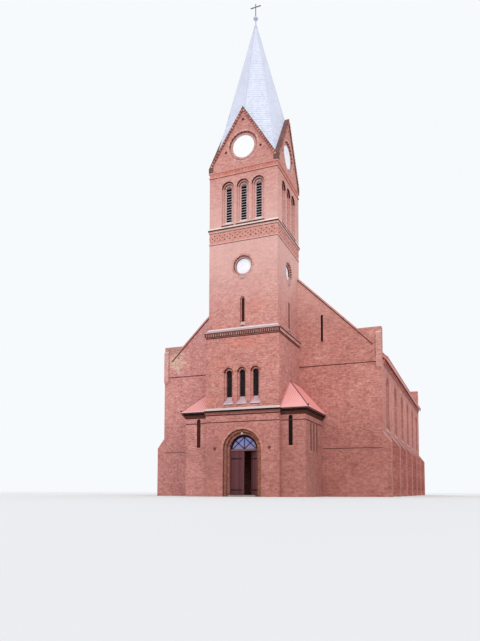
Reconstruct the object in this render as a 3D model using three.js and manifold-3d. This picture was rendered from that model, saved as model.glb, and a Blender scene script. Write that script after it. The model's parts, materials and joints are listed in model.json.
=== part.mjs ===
// Brick parish church with a west tower, spire, corner annexes and a six-bay nave.
// Millimetres. +X is to the right of the entrance, +Y runs into the building, +Z is up.
// The origin lies on the ground, under the centre of the whole building's box.
import * as THREE from 'three';
import { mergeVertices } from 'three/addons/utils/BufferGeometryUtils.js';
import Module from 'manifold-3d';

const wasm = await Module();
wasm.setup();

// Gap between a piece and a sloping neighbour that it rests on
const SEAT_GAP = 0.4;
// Half the number of straight steps in each round arch, and all the steps of a full circle
const ARC_STEPS = 6;
const ROUND_STEPS = 24;

// Tower, lower stage: front plane at y = 0
const TOWER_HALF = 2490;
const TOWER_WALL = 700;
const TOWER_INNER = TOWER_HALF - TOWER_WALL;
const TOWER_BACK = 2 * TOWER_HALF;
const LOWER_CORNICE = { bottom: 5210, drip: 5470, top: 5630, reach: 110 };
const LOWER_CORNICE_STEPS = [[5210, 5300, 35], [5300, 5385, 65], [5385, 5470, 95]];
const UPPER_CORNICE = { bottom: 10210, seat: 10530, top: 10790, reach: 120 };
const UPPER_CORNICE_STEPS = [[10210, 10290, 35], [10290, 10450, 70], [10450, 10530, 105]];
const THIN_STRING = { bottom: 4740, top: 4820, reach: 30 };

// Entrance: stepped round arch, timber frame, two leaves
const PORTAL = { springing: 2950, half: 965, rebateHalf: 1065 };
const PORTAL_ORDERS = [
  { half: 1295, front: 0, back: 150 },
  { half: 1130, front: 150, back: 300 },
  { half: PORTAL.half, front: 300, back: 460 },
  { half: PORTAL.rebateHalf, front: 460, back: TOWER_WALL },
];
const FRAME = { front: 460, back: 560, inner: 920, transomBottom: 2890, transomTop: 3010, lightRadius: 820 };
const FANLIGHT_PANE = [505, 513];
const DOORSTEP_HALF = 900;
const GROUND_FLOOR = 100;
const LEAF = { thickness: 55, edge: 15, reach: 887, bottom: GROUND_FLOOR + 12, top: 2880 };
const HINGE = { x: 895, y: 559, radius: 7, play: 0.8, offset: 14, height: 60, levels: [550, 2400] };
const HINGE_ARM = { half: 8, height: 20, engage: 10, eye: 5 };
const RIGHT_LEAF_AJAR = 45;

// Gallery window of three lights in the second stage
const GALLERY_LIGHT = { pitch: 905, half: 195, sill: 6330, crown: 8050, skin: 250, pane: 8 };
const GALLERY_RECESS = { half: 315, sill: 5850, crown: 8190, depth: 120 };
const GALLERY_EMBRASURE = { half: 1230, bottom: 6220, top: 8150 };
const GALLERY_FLOOR = [5210, 5410];

// Tower, upper shaft and belfry: square, set back on all sides
const SHAFT_HALF = 2360;
const SHAFT_WALL = 600;
const SHAFT_INNER = SHAFT_HALF - SHAFT_WALL;
const SHAFT_BACK = TOWER_HALF + SHAFT_HALF;
const SLIT = { half: 95, sill: 11150, crown: 12730, skin: 200 };
const SLIT_RECESS = { half: 170, sill: 10950, crown: 12800, depth: 80 };
const SPLAY = { side: 150, below: 50, above: 100 };
const ROUNDEL = { z: 14835, outer: 655, step: 120, inner: 520, depth: 250, disc: 510, plate: 50 };
const BELFRY_LIGHT = { pitch: 1045, half: 190, sill: 17900, crown: 20340, skin: 240 };
const BELFRY_ORDERS = [
  { half: 430, sill: 17690, crown: 20600, front: 0, back: 120 },
  { half: 315, sill: 17880, crown: 20480, front: 120, back: 200 },
];
const BELFRY_SILL = { half: 1490, bottom: 17590, top: 17660, reach: 40 };
const BELFRY_EMBRASURE = { half: 1310, bottom: 17850, top: 20530 };
const BELFRY_FLOOR = [17050, 17250];
const LOUVRE = { half: 1300, bottom: 17850, top: 20520, thickness: 40 };
const SHAFT_COURSES = [
  { bottom: 16470, top: 16540, reach: 30 },
  { bottom: 17250, top: 17360, reach: 40 },
  { bottom: 17360, top: 17500, reach: 70 },
  { bottom: 20990, top: 21070, reach: 40 },
  { bottom: 21300, top: 21380, reach: 60 },
];

// Sloping top of the course under the belfry
const BELFRY_WEATHERING = { bottom: 17500, top: 17580, reach: 70 };

// Gables and spire
const HEAD = 21380;
const PARAPET = 250;
const GABLE = { apex: 25260, slope: 1.58, coping: 250, overhang: 60, drip: 6 };
const GABLE_RING = { z: 22830, radius: 980, depth: 120 };
const GABLE_HOLES = [[0, 24620], [-1210, 22590], [1210, 22590]];
const GABLE_HOLE = { reach: 110, depth: 100 };
const SPIRE = { apex: 33150, spread: 0.272, shell: 130, cut: 32750, clear: 5, spare: 1000 };
const SPIRE_HALF = SHAFT_HALF - PARAPET - SPIRE.clear;
const BALL = { z: 33460, radius: 165, flatness: 0.75, neck: 30, neckTop: 60, bands: 8, sides: 16 };
// Radius and height of the tapering tip, above the cut of the spire
const TIP = [[0, 0], [125, 0], [108, 60], [38, 330]];
const CROSS = { top: 34540, bar: 34320, half: 380, thickness: 50 };

// Annexes in the angles between tower and nave
const ANNEX = { front: 285, wall: 400, outer: 4070, eavesBottom: 5390, eavesTop: 5505, overhang: 235 };
const ANNEX_ROOF = { hipY: 2210, ridge: 7540, thickness: 160, end: 150, tip: 0.5 };
const ANNEX_STEPS = [[5110, 5205, 60], [5205, 5300, 120], [5300, 5390, 180]];
// Far enough to clear the strings and steps of the annex walls
const ANNEX_REACH = 200;
const ANNEX_FRONT_SLIT = { x: 3120, half: 130, sill: 3150, crown: 5030 };
const ANNEX_SIDE_SLIT = { places: [1520, 2240, 2990], half: 100, sill: 2860, crown: 4690 };

// Nave
const NAVE = { front: 4480, back: 31480, half: 8050, wall: 600, bays: 6 };
const WEST_WALL = TOWER_BACK - NAVE.front;
const ROOF = { ridge: 17360, slope: 0.978, thickness: 250, eaves: 8350, start: 0.2, clear: 100 };
const COPING = { ridge: 17510, thickness: 140, reach: 80, foot: 7460 };
const CORNER_PIER_TOP = 11180;
const KNEELER = { inner: 7690, reach: 120, bottom: 8400, top: 10870 };
const NAVE_STRINGS = [{ bottom: 3220, top: 3300, reach: 30 }, { bottom: 8880, top: 8980, reach: 50 }];
const WEST_STRING_STARTS = [ANNEX.outer, TOWER_HALF];
const GABLE_SLIT = { x: 4085, half: 75, sill: 10520, crown: 12370, skin: 250 };
const BUTTRESS = { reach: 540, width: 600, shoulder: 3540, top: 4260 };
const NAVE_LIGHT = { half: 550, sill: 4700, crown: 8050, margin: 100, pane: 8 };
const NAVE_RECESS = { half: 750, sill: 4450, crown: 8250, depth: 120 };
const EAVES_STEPS = [{ bottom: 8780, top: 8900, reach: 60 }, { bottom: 8900, top: 9060, reach: 120 }];
const NAVE_INNER = NAVE.half - NAVE.wall;
const AISLE_START = TOWER_BACK;
const AISLE_END = NAVE.back - NAVE.wall;
const BAY = (AISLE_END - AISLE_START) / NAVE.bays;

// The building's box runs from the upper cornice to the east kneelers
const CENTRE_Y = (NAVE.back + KNEELER.reach - UPPER_CORNICE.reach) / 2;

// Finishes
const finish = (color, roughness, metalness = 0) => (
  new THREE.MeshStandardMaterial({ color, roughness, metalness })
);
const BRICK = finish(0xb9665a, 0.9);
const ROOF_TILE = finish(0xd98078, 0.7);
const SLATE = finish(0xb9bdd0, 0.6);
const OAK = finish(0x5d3a38, 0.6);
const CONCRETE = finish(0x9a938a, 0.9);
const GLASS = finish(0x6d7690, 0.15);
const LOUVRE_WOOD = finish(0x6d6672, 0.8);
const PLASTER = finish(0xe9e6e0, 0.8);
const IRON = finish(0x3a3634, 0.5, 0.8);

// Turns a three.js geometry into a solid that can be joined and cut
function asSolid(geometry) {
  geometry.deleteAttribute('normal');
  geometry.deleteAttribute('uv');
  const merged = mergeVertices(geometry, 1e-3);
  return new wasm.Manifold(new wasm.Mesh({
    numProp: 3,
    vertProperties: merged.attributes.position.array,
    triVerts: new Uint32Array(merged.index.array),
  }));
}

function asGeometry(solid) {
  const { vertProperties, triVerts } = solid.getMesh();
  const geometry = new THREE.BufferGeometry();
  geometry.setAttribute('position', new THREE.BufferAttribute(vertProperties, 3));
  geometry.setIndex(new THREE.BufferAttribute(triVerts, 1));
  geometry.computeVertexNormals();
  return geometry;
}

const join = (solids) => solids.reduce((whole, piece) => whole.add(piece));
const cut = (body, tools) => tools.reduce((rest, tool) => rest.subtract(tool), body);

// A rectangular block between two values on each axis, in either order
function block([x0, x1], [y0, y1], [z0, z1]) {
  const geometry = new THREE.BoxGeometry(Math.abs(x1 - x0), Math.abs(y1 - y0), Math.abs(z1 - z0));
  geometry.translate((x0 + x1) / 2, (y0 + y1) / 2, (z0 + z1) / 2);
  return asSolid(geometry);
}

// A block whose top rectangle differs from its bottom rectangle
function taperedBlock(bottom, top, [z0, z1]) {
  const geometry = new THREE.BoxGeometry(1, 1, 1);
  const position = geometry.attributes.position;
  for (let i = 0; i < position.count; i += 1) {
    const rectangle = position.getZ(i) > 0 ? top : bottom;
    const x = rectangle.x[position.getX(i) > 0 ? 1 : 0];
    const y = rectangle.y[position.getY(i) > 0 ? 1 : 0];
    position.setXYZ(i, x, y, position.getZ(i) > 0 ? z1 : z0);
  }
  return asSolid(geometry);
}

const AXIS_X = new THREE.Vector3(1, 0, 0);
const AXIS_Y = new THREE.Vector3(0, 1, 0);
const AXIS_Z = new THREE.Vector3(0, 0, 1);

const outline = (points) => new THREE.Shape(points.map(([a, b]) => new THREE.Vector2(a, b)));

function extrude(shape, depth) {
  return new THREE.ExtrudeGeometry(shape, { depth, bevelEnabled: false, curveSegments: ARC_STEPS });
}

// A shape drawn in x and z, pushed along y
function alongY(shape, [y0, y1]) {
  const geometry = extrude(shape, Math.abs(y1 - y0));
  geometry.applyMatrix4(new THREE.Matrix4().makeBasis(AXIS_X, AXIS_Z, AXIS_Y.clone().negate()));
  geometry.translate(0, Math.max(y0, y1), 0);
  return asSolid(geometry);
}

// A shape drawn in y and z, pushed along x
function alongX(shape, [x0, x1]) {
  const geometry = extrude(shape, Math.abs(x1 - x0));
  geometry.applyMatrix4(new THREE.Matrix4().makeBasis(AXIS_Y, AXIS_Z, AXIS_X));
  geometry.translate(Math.min(x0, x1), 0, 0);
  return asSolid(geometry);
}

// The outline of a round-arched opening
function arch(centre, half, sill, crown) {
  const springing = crown - half;
  const shape = new THREE.Shape();
  shape.moveTo(centre - half, sill);
  shape.lineTo(centre + half, sill);
  shape.lineTo(centre + half, springing);
  shape.absarc(centre, springing, half, 0, Math.PI);
  return shape;
}

function disc(x, z, radius) {
  const points = Array.from({ length: ROUND_STEPS }, (_, step) => {
    const angle = (2 * Math.PI * (step + 0.5)) / ROUND_STEPS;
    return [x + radius * Math.cos(angle), z + radius * Math.sin(angle)];
  });
  return outline(points);
}

const diamond = (x, z, reach) => outline([[x - reach, z], [x, z - reach], [x + reach, z], [x, z + reach]]);

// The sloping sill that fills the foot of a recess
function slopingSill([x0, x1], [front, back], [low, high]) {
  return alongX(outline([[front, low], [back, low], [back, high]]), [x0, x1]);
}

function place(group, name, solid, material) {
  const mesh = new THREE.Mesh(asGeometry(solid), material);
  mesh.name = name;
  group.add(mesh);
  return mesh;
}

const church = new THREE.Group();
church.position.set(0, -CENTRE_Y, 0);

// Entrance pier beside the doorway, stepped in the four orders
function portalPier(side) {
  const pieces = PORTAL_ORDERS.map(({ half, front, back }) => (
    block([side * half, side * TOWER_HALF], [front, back], [0, PORTAL.springing])
  ));
  return join(pieces);
}

// Front wall over the doorway, with the stepped arch and the thin string course
function portalArchWall() {
  const wall = block([-TOWER_HALF, TOWER_HALF], [0, TOWER_WALL], [PORTAL.springing, LOWER_CORNICE.bottom]);
  const string = block(
    [-TOWER_HALF, TOWER_HALF],
    [-THIN_STRING.reach, 0],
    [THIN_STRING.bottom, THIN_STRING.top],
  );
  const orders = PORTAL_ORDERS.map(({ half, front, back }) => (
    alongY(arch(0, half, 0, PORTAL.springing + half), [front === 0 ? -1 : front, back + 1])
  ));
  return cut(wall.add(string), orders);
}

// Timber frame: jambs, transom and the round head that holds the fanlight
function doorFrame() {
  const outer = PORTAL.rebateHalf - SEAT_GAP;
  const shape = arch(0, outer, 0, PORTAL.springing + outer);
  const light = new THREE.Path();
  const rise = FRAME.transomTop - PORTAL.springing;
  const lean = Math.asin(rise / FRAME.lightRadius);
  light.absarc(0, PORTAL.springing, FRAME.lightRadius, lean, Math.PI - lean);
  shape.holes.push(light);
  const frame = alongY(shape, [FRAME.front, FRAME.back]);
  const doorway = block([-FRAME.inner, FRAME.inner], [0, TOWER_WALL], [-1, FRAME.transomBottom]);
  return join([frame.subtract(doorway), ...hingePins(-1), ...hingePins(1)]);
}

// Brackets and upright pins on the jamb that carry one leaf
function hingePins(side) {
  const { half, height, engage } = HINGE_ARM;
  return HINGE.levels.map((level) => {
    const arm = block(
      [side * FRAME.inner, side * (HINGE.x - half)],
      [HINGE.y - half, FRAME.back],
      [level - height, level],
    );
    const pin = upright(HINGE.radius, [level - engage, level + HINGE.height - engage]);
    return arm.add(pin.translate([side * HINGE.x, HINGE.y, 0]));
  });
}

function upright(radius, [z0, z1]) {
  const geometry = new THREE.CylinderGeometry(radius, radius, z1 - z0, 12);
  geometry.rotateX(Math.PI / 2);
  geometry.translate(0, 0, (z0 + z1) / 2);
  return asSolid(geometry);
}

function fanlightGlass() {
  const radius = FRAME.lightRadius - SEAT_GAP;
  const chord = FRAME.transomTop + SEAT_GAP;
  const lean = Math.asin((chord - PORTAL.springing) / radius);
  const shape = new THREE.Shape();
  shape.absarc(0, PORTAL.springing, radius, lean, Math.PI - lean);
  return alongY(shape, FANLIGHT_PANE);
}

// One door leaf, closed, with its hinge line at the origin. Side -1 hangs on the left jamb.
function doorLeaf(side) {
  const inner = -HINGE.offset;
  const outer = inner - LEAF.thickness;
  const board = block([-side * -LEAF.edge, -side * LEAF.reach], [outer, inner], [LEAF.bottom, LEAF.top]);
  const eyes = HINGE.levels.map((level) => block(
    [-HINGE.offset, HINGE.offset],
    [inner - HINGE_ARM.eye, HINGE.offset],
    [level + SEAT_GAP, level + HINGE.height],
  ));
  const boreRadius = HINGE.radius + HINGE.play;
  const bores = HINGE.levels.map((level) => upright(boreRadius, [level - 1, level + HINGE.height + 1]));
  return cut(join([board, ...eyes]), bores);
}

function addLeaf(name, side, ajar) {
  const leaf = place(church, name, doorLeaf(side), OAK);
  leaf.position.set(side * HINGE.x, HINGE.y, 0);
  leaf.rotation.z = THREE.MathUtils.degToRad(-side * ajar);
}

function addEntrance() {
  place(church, 'portal_left_pier', portalPier(-1), BRICK);
  place(church, 'portal_right_pier', portalPier(1), BRICK);
  place(church, 'portal_arch_wall', portalArchWall(), BRICK);
  const step = block([-DOORSTEP_HALF, DOORSTEP_HALF], [0, TOWER_WALL], [0, GROUND_FLOOR]);
  place(church, 'doorstep', step, CONCRETE);
  place(church, 'door_frame', doorFrame(), OAK);
  place(church, 'fanlight_glass', fanlightGlass(), GLASS);
  addLeaf('door_leaf_left', -1, 0);
  addLeaf('door_leaf_right', 1, RIGHT_LEAF_AJAR);
}

// Stepped brick course under a sloping top, across the front and round both corners
function lowerCornice() {
  const { bottom, drip, top, reach } = LOWER_CORNICE;
  const returnEnd = ANNEX.front - ANNEX.overhang;
  const core = block([-TOWER_HALF, TOWER_HALF], [0, TOWER_WALL], [bottom, top]);
  const courses = LOWER_CORNICE_STEPS.map(([z0, z1, out]) => (
    block([-TOWER_HALF - out, TOWER_HALF + out], [-out, returnEnd], [z0, z1])
  ));
  const slope = taperedBlock(
    { x: [-TOWER_HALF - reach, TOWER_HALF + reach], y: [-reach, returnEnd] },
    { x: [-TOWER_HALF, TOWER_HALF], y: [0, returnEnd] },
    [drip, top],
  );
  return join([core, ...courses, slope]);
}

function galleryFrontWall() {
  const wall = block([-TOWER_HALF, TOWER_HALF], [0, TOWER_WALL], [LOWER_CORNICE.top, UPPER_CORNICE.bottom]);
  const tools = [];
  const sills = [];
  for (const place of [-1, 0, 1]) {
    const x = place * GALLERY_LIGHT.pitch;
    const light = GALLERY_LIGHT;
    const { half, sill, crown, depth } = GALLERY_RECESS;
    const step = sill + (light.sill - sill) * depth / light.skin;
    tools.push(alongY(arch(x, half, sill, crown), [-1, depth]));
    tools.push(alongY(arch(x, light.half, step, light.crown), [0, light.skin + 1]));
    sills.push(slopingSill([x - half, x + half], [0, depth], [sill, step]));
    sills.push(slopingSill([x - light.half, x + light.half], [depth, light.skin + 1], [step, light.sill]));
  }
  const { half, bottom, top } = GALLERY_EMBRASURE;
  const embrasure = block([-half, half], [GALLERY_LIGHT.skin, TOWER_WALL + 1], [bottom, top]);
  return cut(join([cut(wall, tools), ...sills]), [embrasure]);
}

function galleryGlass() {
  const { skin, pane } = GALLERY_LIGHT;
  const { half, bottom, top } = GALLERY_EMBRASURE;
  return block([-half, half], [skin, skin + pane], [bottom, top]);
}

function towerBackWall() {
  const inner = TOWER_BACK - TOWER_WALL;
  const wall = block([-TOWER_INNER, TOWER_INNER], [inner, TOWER_BACK], [0, UPPER_CORNICE.bottom]);
  const passage = arch(0, PORTAL.half, -1, PORTAL.springing + PORTAL.half);
  return wall.subtract(alongY(passage, [inner - 1, TOWER_BACK + 1]));
}

// Ring of brick that carries the set-back shaft, with a sloping top outside it
function upperCornice() {
  const { bottom, seat, top, reach } = UPPER_CORNICE;
  const ring = block([-TOWER_HALF, TOWER_HALF], [0, TOWER_BACK], [bottom, seat]);
  const courses = UPPER_CORNICE_STEPS.map(([z0, z1, out]) => (
    block([-TOWER_HALF - out, TOWER_HALF + out], [-out, NAVE.front], [z0, z1])
  ));
  const setBack = TOWER_HALF - SHAFT_HALF;
  const slope = taperedBlock(
    { x: [-TOWER_HALF - reach, TOWER_HALF + reach], y: [-reach, NAVE.front] },
    { x: [-SHAFT_HALF, SHAFT_HALF], y: [setBack, NAVE.front] },
    [seat, top],
  );
  const shaft = block([-SHAFT_HALF, SHAFT_HALF], [setBack, TOWER_BACK], [seat, top + 1]);
  const inside = [TOWER_HALF - SHAFT_INNER, TOWER_HALF + SHAFT_INNER];
  const room = block([-SHAFT_INNER, SHAFT_INNER], inside, [bottom - 1, seat + 1]);
  return cut(join([ring, ...courses, slope]), [shaft, room]);
}

function towerFloor() {
  const inner = TOWER_BACK - TOWER_WALL;
  const hall = block([-TOWER_INNER, TOWER_INNER], [TOWER_WALL, inner], [0, GROUND_FLOOR]);
  return hall.add(block([-PORTAL.half, PORTAL.half], [inner, TOWER_BACK], [0, GROUND_FLOOR]));
}

function addLowerTower() {
  const sideSpan = [TOWER_WALL, TOWER_BACK];
  const room = [TOWER_WALL, TOWER_BACK - TOWER_WALL];
  place(church, 'tower_floor', towerFloor(), CONCRETE);
  place(church, 'lower_cornice', lowerCornice(), BRICK);
  place(church, 'gallery_front_wall', galleryFrontWall(), BRICK);
  place(church, 'gallery_glass', galleryGlass(), GLASS);
  place(church, 'gallery_floor', block([-TOWER_INNER, TOWER_INNER], room, GALLERY_FLOOR), CONCRETE);
  const height = [0, UPPER_CORNICE.bottom];
  place(church, 'tower_left_wall', block([-TOWER_HALF, -TOWER_INNER], sideSpan, height), BRICK);
  place(church, 'tower_right_wall', block([TOWER_INNER, TOWER_HALF], sideSpan, height), BRICK);
  place(church, 'tower_back_wall', towerBackWall(), BRICK);
  place(church, 'upper_cornice', upperCornice(), BRICK);
}

// Gable outline down to the wall head, raised by a lift
function gableOutline(half, lift = 0) {
  const edge = GABLE.apex - GABLE.slope * half + lift;
  return outline([[-half, HEAD], [half, HEAD], [half, edge], [0, GABLE.apex + lift], [-half, edge]]);
}

// The brickwork of a full gable: its own face and the corner blocks of its neighbours.
// The gap swells it on every side, to cut a piece that wraps round it.
function gableBrick(half, gap = 0) {
  const own = alongY(gableOutline(half + gap, gap), [-gap, PARAPET + gap]);
  if (half < SHAFT_HALF) return own;
  const flank = outline([
    [-gap, HEAD],
    [PARAPET + gap, HEAD],
    [PARAPET + gap, GABLE.apex - GABLE.slope * (SHAFT_HALF - PARAPET - gap) + gap],
    [-gap, GABLE.apex - GABLE.slope * (SHAFT_HALF + gap) + gap],
  ]);
  const corners = [-1, 1].map((side) => (
    alongX(flank, [side * (SHAFT_HALF - PARAPET - gap), side * (SHAFT_HALF + gap)])
  ));
  return join([own, ...corners]);
}

// Outer recesses, sloping sill and clear light of one belfry opening
function belfryTools(x) {
  const orders = BELFRY_ORDERS.map(({ half, sill, crown, front, back }) => (
    alongY(arch(x, half, sill, crown), [front === 0 ? -1 : front, back])
  ));
  const { half, sill, crown, skin } = BELFRY_LIGHT;
  return [...orders, alongY(arch(x, half, sill, crown), [0, skin + 1])];
}

// Where a course runs across a face of the shaft. The nave roof interrupts it on the back.
function stretches(end, bottom, open) {
  if (open || bottom > ROOF.ridge) return [[-end, end]];
  const start = (ROOF.ridge - bottom) / ROOF.slope + ROOF.clear;
  return [[-end, -start], [start, end]];
}

// One wall of shaft, belfry and gable, with its outer face at y = 0 and x across it
function shaftWall({ full, open }) {
  const half = full ? SHAFT_HALF : SHAFT_INNER;
  const gableHalf = full ? SHAFT_HALF : SHAFT_HALF - PARAPET;
  const wall = block([-half, half], [0, SHAFT_WALL], [UPPER_CORNICE.seat, HEAD]);
  const into = full ? SHAFT_WALL : 1;
  const end = (reach) => (full ? half + reach : half);
  const courses = SHAFT_COURSES.flatMap(({ bottom, top, reach }) => {
    const spans = stretches(end(reach), bottom, open);
    return spans.map((span) => block(span, [-reach, into], [bottom, top]));
  });
  const slope = BELFRY_WEATHERING;
  const weathering = taperedBlock(
    { x: [-end(slope.reach), end(slope.reach)], y: [-slope.reach, into] },
    { x: [-half, half], y: [0, into] },
    [slope.bottom, slope.top],
  );
  const { half: sillHalf, bottom, top, reach } = BELFRY_SILL;
  const sill = block([-sillHalf, sillHalf], [-reach, 1], [bottom, top]);
  let body = join([wall, ...courses, weathering, sill, gableBrick(gableHalf)]);
  const places = [-1, 0, 1].map((step) => step * BELFRY_LIGHT.pitch);
  body = cut(body, places.flatMap(belfryTools));
  body = join([body, ...places.map(belfrySill)]);
  const room = BELFRY_EMBRASURE;
  const depth = [BELFRY_LIGHT.skin, SHAFT_WALL + 1];
  const embrasure = block([-room.half, room.half], depth, [room.bottom, room.top]);
  body = cut(body, [embrasure, ...gableHollows()]);
  return open ? openFace(body) : body;
}

function belfrySill(x) {
  const { half, sill, back } = BELFRY_ORDERS[0];
  return slopingSill([x - half, x + half], [0, back], [sill, BELFRY_ORDERS[1].sill]);
}

// Large round niche and small square hollows in the gable
function gableHollows() {
  const { z, radius, depth } = GABLE_RING;
  const holes = GABLE_HOLES.map(([x, height]) => (
    alongY(diamond(x, height, GABLE_HOLE.reach), [-1, GABLE_HOLE.depth])
  ));
  return [alongY(disc(0, z, radius), [-1, depth]), ...holes];
}

// Slit window and stepped roundel of the three faces that stand clear of the nave
function openFace(body) {
  const { z, outer, step, inner, depth } = ROUNDEL;
  const wide = alongY(disc(0, z, outer), [-1, step]);
  const narrow = alongY(disc(0, z, inner), [step - 1, depth]);
  const { half, sill: low, crown, depth: recessDepth } = SLIT_RECESS;
  const recess = alongY(arch(0, half, low, crown), [-1, recessDepth]);
  const light = alongY(arch(0, SLIT.half, SLIT.sill, SLIT.crown), [0, SHAFT_WALL + 1]);
  const sill = slopingSill([-half, half], [0, recessDepth], [low, SLIT.sill]);
  return cut(cut(body, [wide, narrow, recess]).add(sill), [light, splay(0, SLIT, SHAFT_WALL)]);
}

// The wider opening behind the skin of a slit window
function splay(x, { half, sill, crown, skin }, wall) {
  const reach = half + SPLAY.side;
  return block([x - reach, x + reach], [skin, wall + 1], [sill - SPLAY.below, crown + SPLAY.above]);
}

// Groups that carry a face of the shaft, turned in exact quarter turns about the tower's axis
function quarterTurn(quarters) {
  const across = [AXIS_X, AXIS_Y, AXIS_X.clone().negate(), AXIS_Y.clone().negate()];
  const inward = [AXIS_Y, AXIS_X.clone().negate(), AXIS_Y.clone().negate(), AXIS_X];
  return new THREE.Matrix4().makeBasis(across[quarters], inward[quarters], AXIS_Z);
}

function placeOnFace(name, solid, material, quarters) {
  const mesh = place(church, name, solid, material);
  mesh.geometry.translate(0, -SHAFT_HALF, 0);
  mesh.geometry.applyMatrix4(quarterTurn(quarters));
  mesh.position.set(0, TOWER_HALF, 0);
}

function louvrePanel() {
  const { half, bottom, top, thickness } = LOUVRE;
  return block([-half, half], [BELFRY_LIGHT.skin, BELFRY_LIGHT.skin + thickness], [bottom, top]);
}

function roundelDisc() {
  const { z, disc: radius, depth, plate } = ROUNDEL;
  return alongY(disc(0, z, radius), [depth - plate, depth]);
}

// Sloping copings of all four gables, joined at the tower's corners
function gableCopings() {
  const half = SHAFT_HALF + GABLE.overhang;
  const under = GABLE.apex - GABLE.drip;
  const over = GABLE.apex + GABLE.coping;
  const drop = GABLE.slope * half;
  const strip = outline([
    [-half, under - drop], [0, under], [half, under - drop],
    [half, over - drop], [0, over], [-half, over - drop],
  ]);
  const turned = (solid, quarters) => {
    const geometry = asGeometry(solid);
    geometry.translate(0, -SHAFT_HALF, 0);
    geometry.applyMatrix4(quarterTurn(quarters));
    return asSolid(geometry);
  };
  const faces = [0, 1, 2, 3];
  const strips = faces.map((quarters) => turned(alongY(strip, [-GABLE.overhang, PARAPET]), quarters));
  const brick = faces.map((quarters) => turned(gableBrick(SHAFT_HALF, SEAT_GAP), quarters));
  return cut(join(strips), brick);
}

function addShaft() {
  const faces = [['front', 0], ['right', 1], ['back', 2], ['left', 3]];
  for (const [side, quarters] of faces) {
    const full = quarters % 2 === 0;
    const open = side !== 'back';
    placeOnFace(`shaft_${side}_wall`, shaftWall({ full, open }), BRICK, quarters);
    placeOnFace(`belfry_louvres_${side}`, louvrePanel(), LOUVRE_WOOD, quarters);
    if (open) placeOnFace(`roundel_${side}`, roundelDisc(), PLASTER, quarters);
  }
  const room = [-SHAFT_INNER, SHAFT_INNER];
  const floor = place(church, 'belfry_floor', block(room, room, BELFRY_FLOOR), CONCRETE);
  floor.position.set(0, TOWER_HALF, 0);
  const copings = place(church, 'gable_copings', gableCopings(), SLATE);
  copings.position.set(0, TOWER_HALF, 0);
}

// An eight-sided pyramid with corners towards the faces and the corners of the tower
function pyramid(apex, base) {
  const height = apex - base;
  const geometry = new THREE.ConeGeometry(height * SPIRE.spread, height, 8);
  geometry.rotateX(Math.PI / 2);
  geometry.translate(0, 0, base + height / 2);
  return asSolid(geometry);
}

function spire() {
  const { apex, shell, spread, cut: top, spare } = SPIRE;
  const foot = HEAD - spare;
  const square = [-SPIRE_HALF, SPIRE_HALF];
  const body = pyramid(apex, foot).intersect(block(square, square, [HEAD, top]));
  const inside = [shell - SPIRE_HALF, SPIRE_HALF - shell];
  const hollow = pyramid(apex - shell / spread, foot).intersect(block(inside, inside, [foot, top]));
  return body.subtract(hollow);
}

// Tapering tip, neck and flattened ball turned about the spire's axis
function spireBall() {
  const { z, radius, flatness, neck, neckTop, bands, sides } = BALL;
  const profile = TIP.map(([r, rise]) => [r, SPIRE.cut + rise]);
  for (let i = 1; i < bands; i += 1) {
    const angle = -Math.PI / 2 + (Math.PI * i) / bands;
    profile.push([radius * Math.cos(angle), z + flatness * radius * Math.sin(angle)]);
  }
  const head = z + flatness * radius;
  profile.push([neck, head], [neck, head + neckTop], [0, head + neckTop]);
  const geometry = new THREE.LatheGeometry(profile.map(([r, h]) => new THREE.Vector2(r, h)), sides);
  geometry.rotateX(Math.PI / 2);
  return asSolid(geometry);
}

function cross() {
  const { top, bar, half, thickness } = CROSS;
  const side = thickness / 2;
  const foot = BALL.z + BALL.flatness * BALL.radius + BALL.neckTop;
  const post = block([-side, side], [-side, side], [foot, top]);
  return post.add(block([-half, half], [-side, side], [bar - side, bar + side]));
}

function addSpire() {
  const pieces = [
    place(church, 'spire', spire(), SLATE),
    place(church, 'spire_ball', spireBall(), IRON),
    place(church, 'cross', cross(), IRON),
  ];
  for (const piece of pieces) piece.position.set(0, TOWER_HALF, 0);
}

function annexFrontWall(side) {
  const { front, wall, outer, eavesBottom } = ANNEX;
  const span = (out) => [side * TOWER_HALF, side * (outer + out)];
  const body = block(span(0), [front, front + wall], [0, eavesBottom]);
  const steps = ANNEX_STEPS.map(([z0, z1, out]) => block(span(out), [front - out, front + wall], [z0, z1]));
  const { bottom, top, reach } = THIN_STRING;
  const string = block(span(reach), [front - reach, front + wall], [bottom, top]);
  const { x, half, sill, crown } = ANNEX_FRONT_SLIT;
  const slit = alongY(arch(side * x, half, sill, crown), [front - ANNEX_REACH, front + wall + 1]);
  return join([body, ...steps, string]).subtract(slit);
}

function annexSideWall(side) {
  const { front, wall, outer, eavesBottom } = ANNEX;
  const length = [front + wall, NAVE.front];
  const span = (out) => [side * (outer - wall), side * (outer + out)];
  const body = block(span(0), length, [0, eavesBottom]);
  const steps = ANNEX_STEPS.map(([z0, z1, out]) => block(span(out), length, [z0, z1]));
  const { bottom, top, reach } = THIN_STRING;
  const string = block(span(reach), length, [bottom, top]);
  const { places, half, sill, crown } = ANNEX_SIDE_SLIT;
  const slits = places.map((y) => (
    alongX(arch(y, half, sill, crown), [side * (outer - wall - 1), side * (outer + ANNEX_REACH)])
  ));
  return cut(join([body, ...steps, string]), slits);
}

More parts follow.
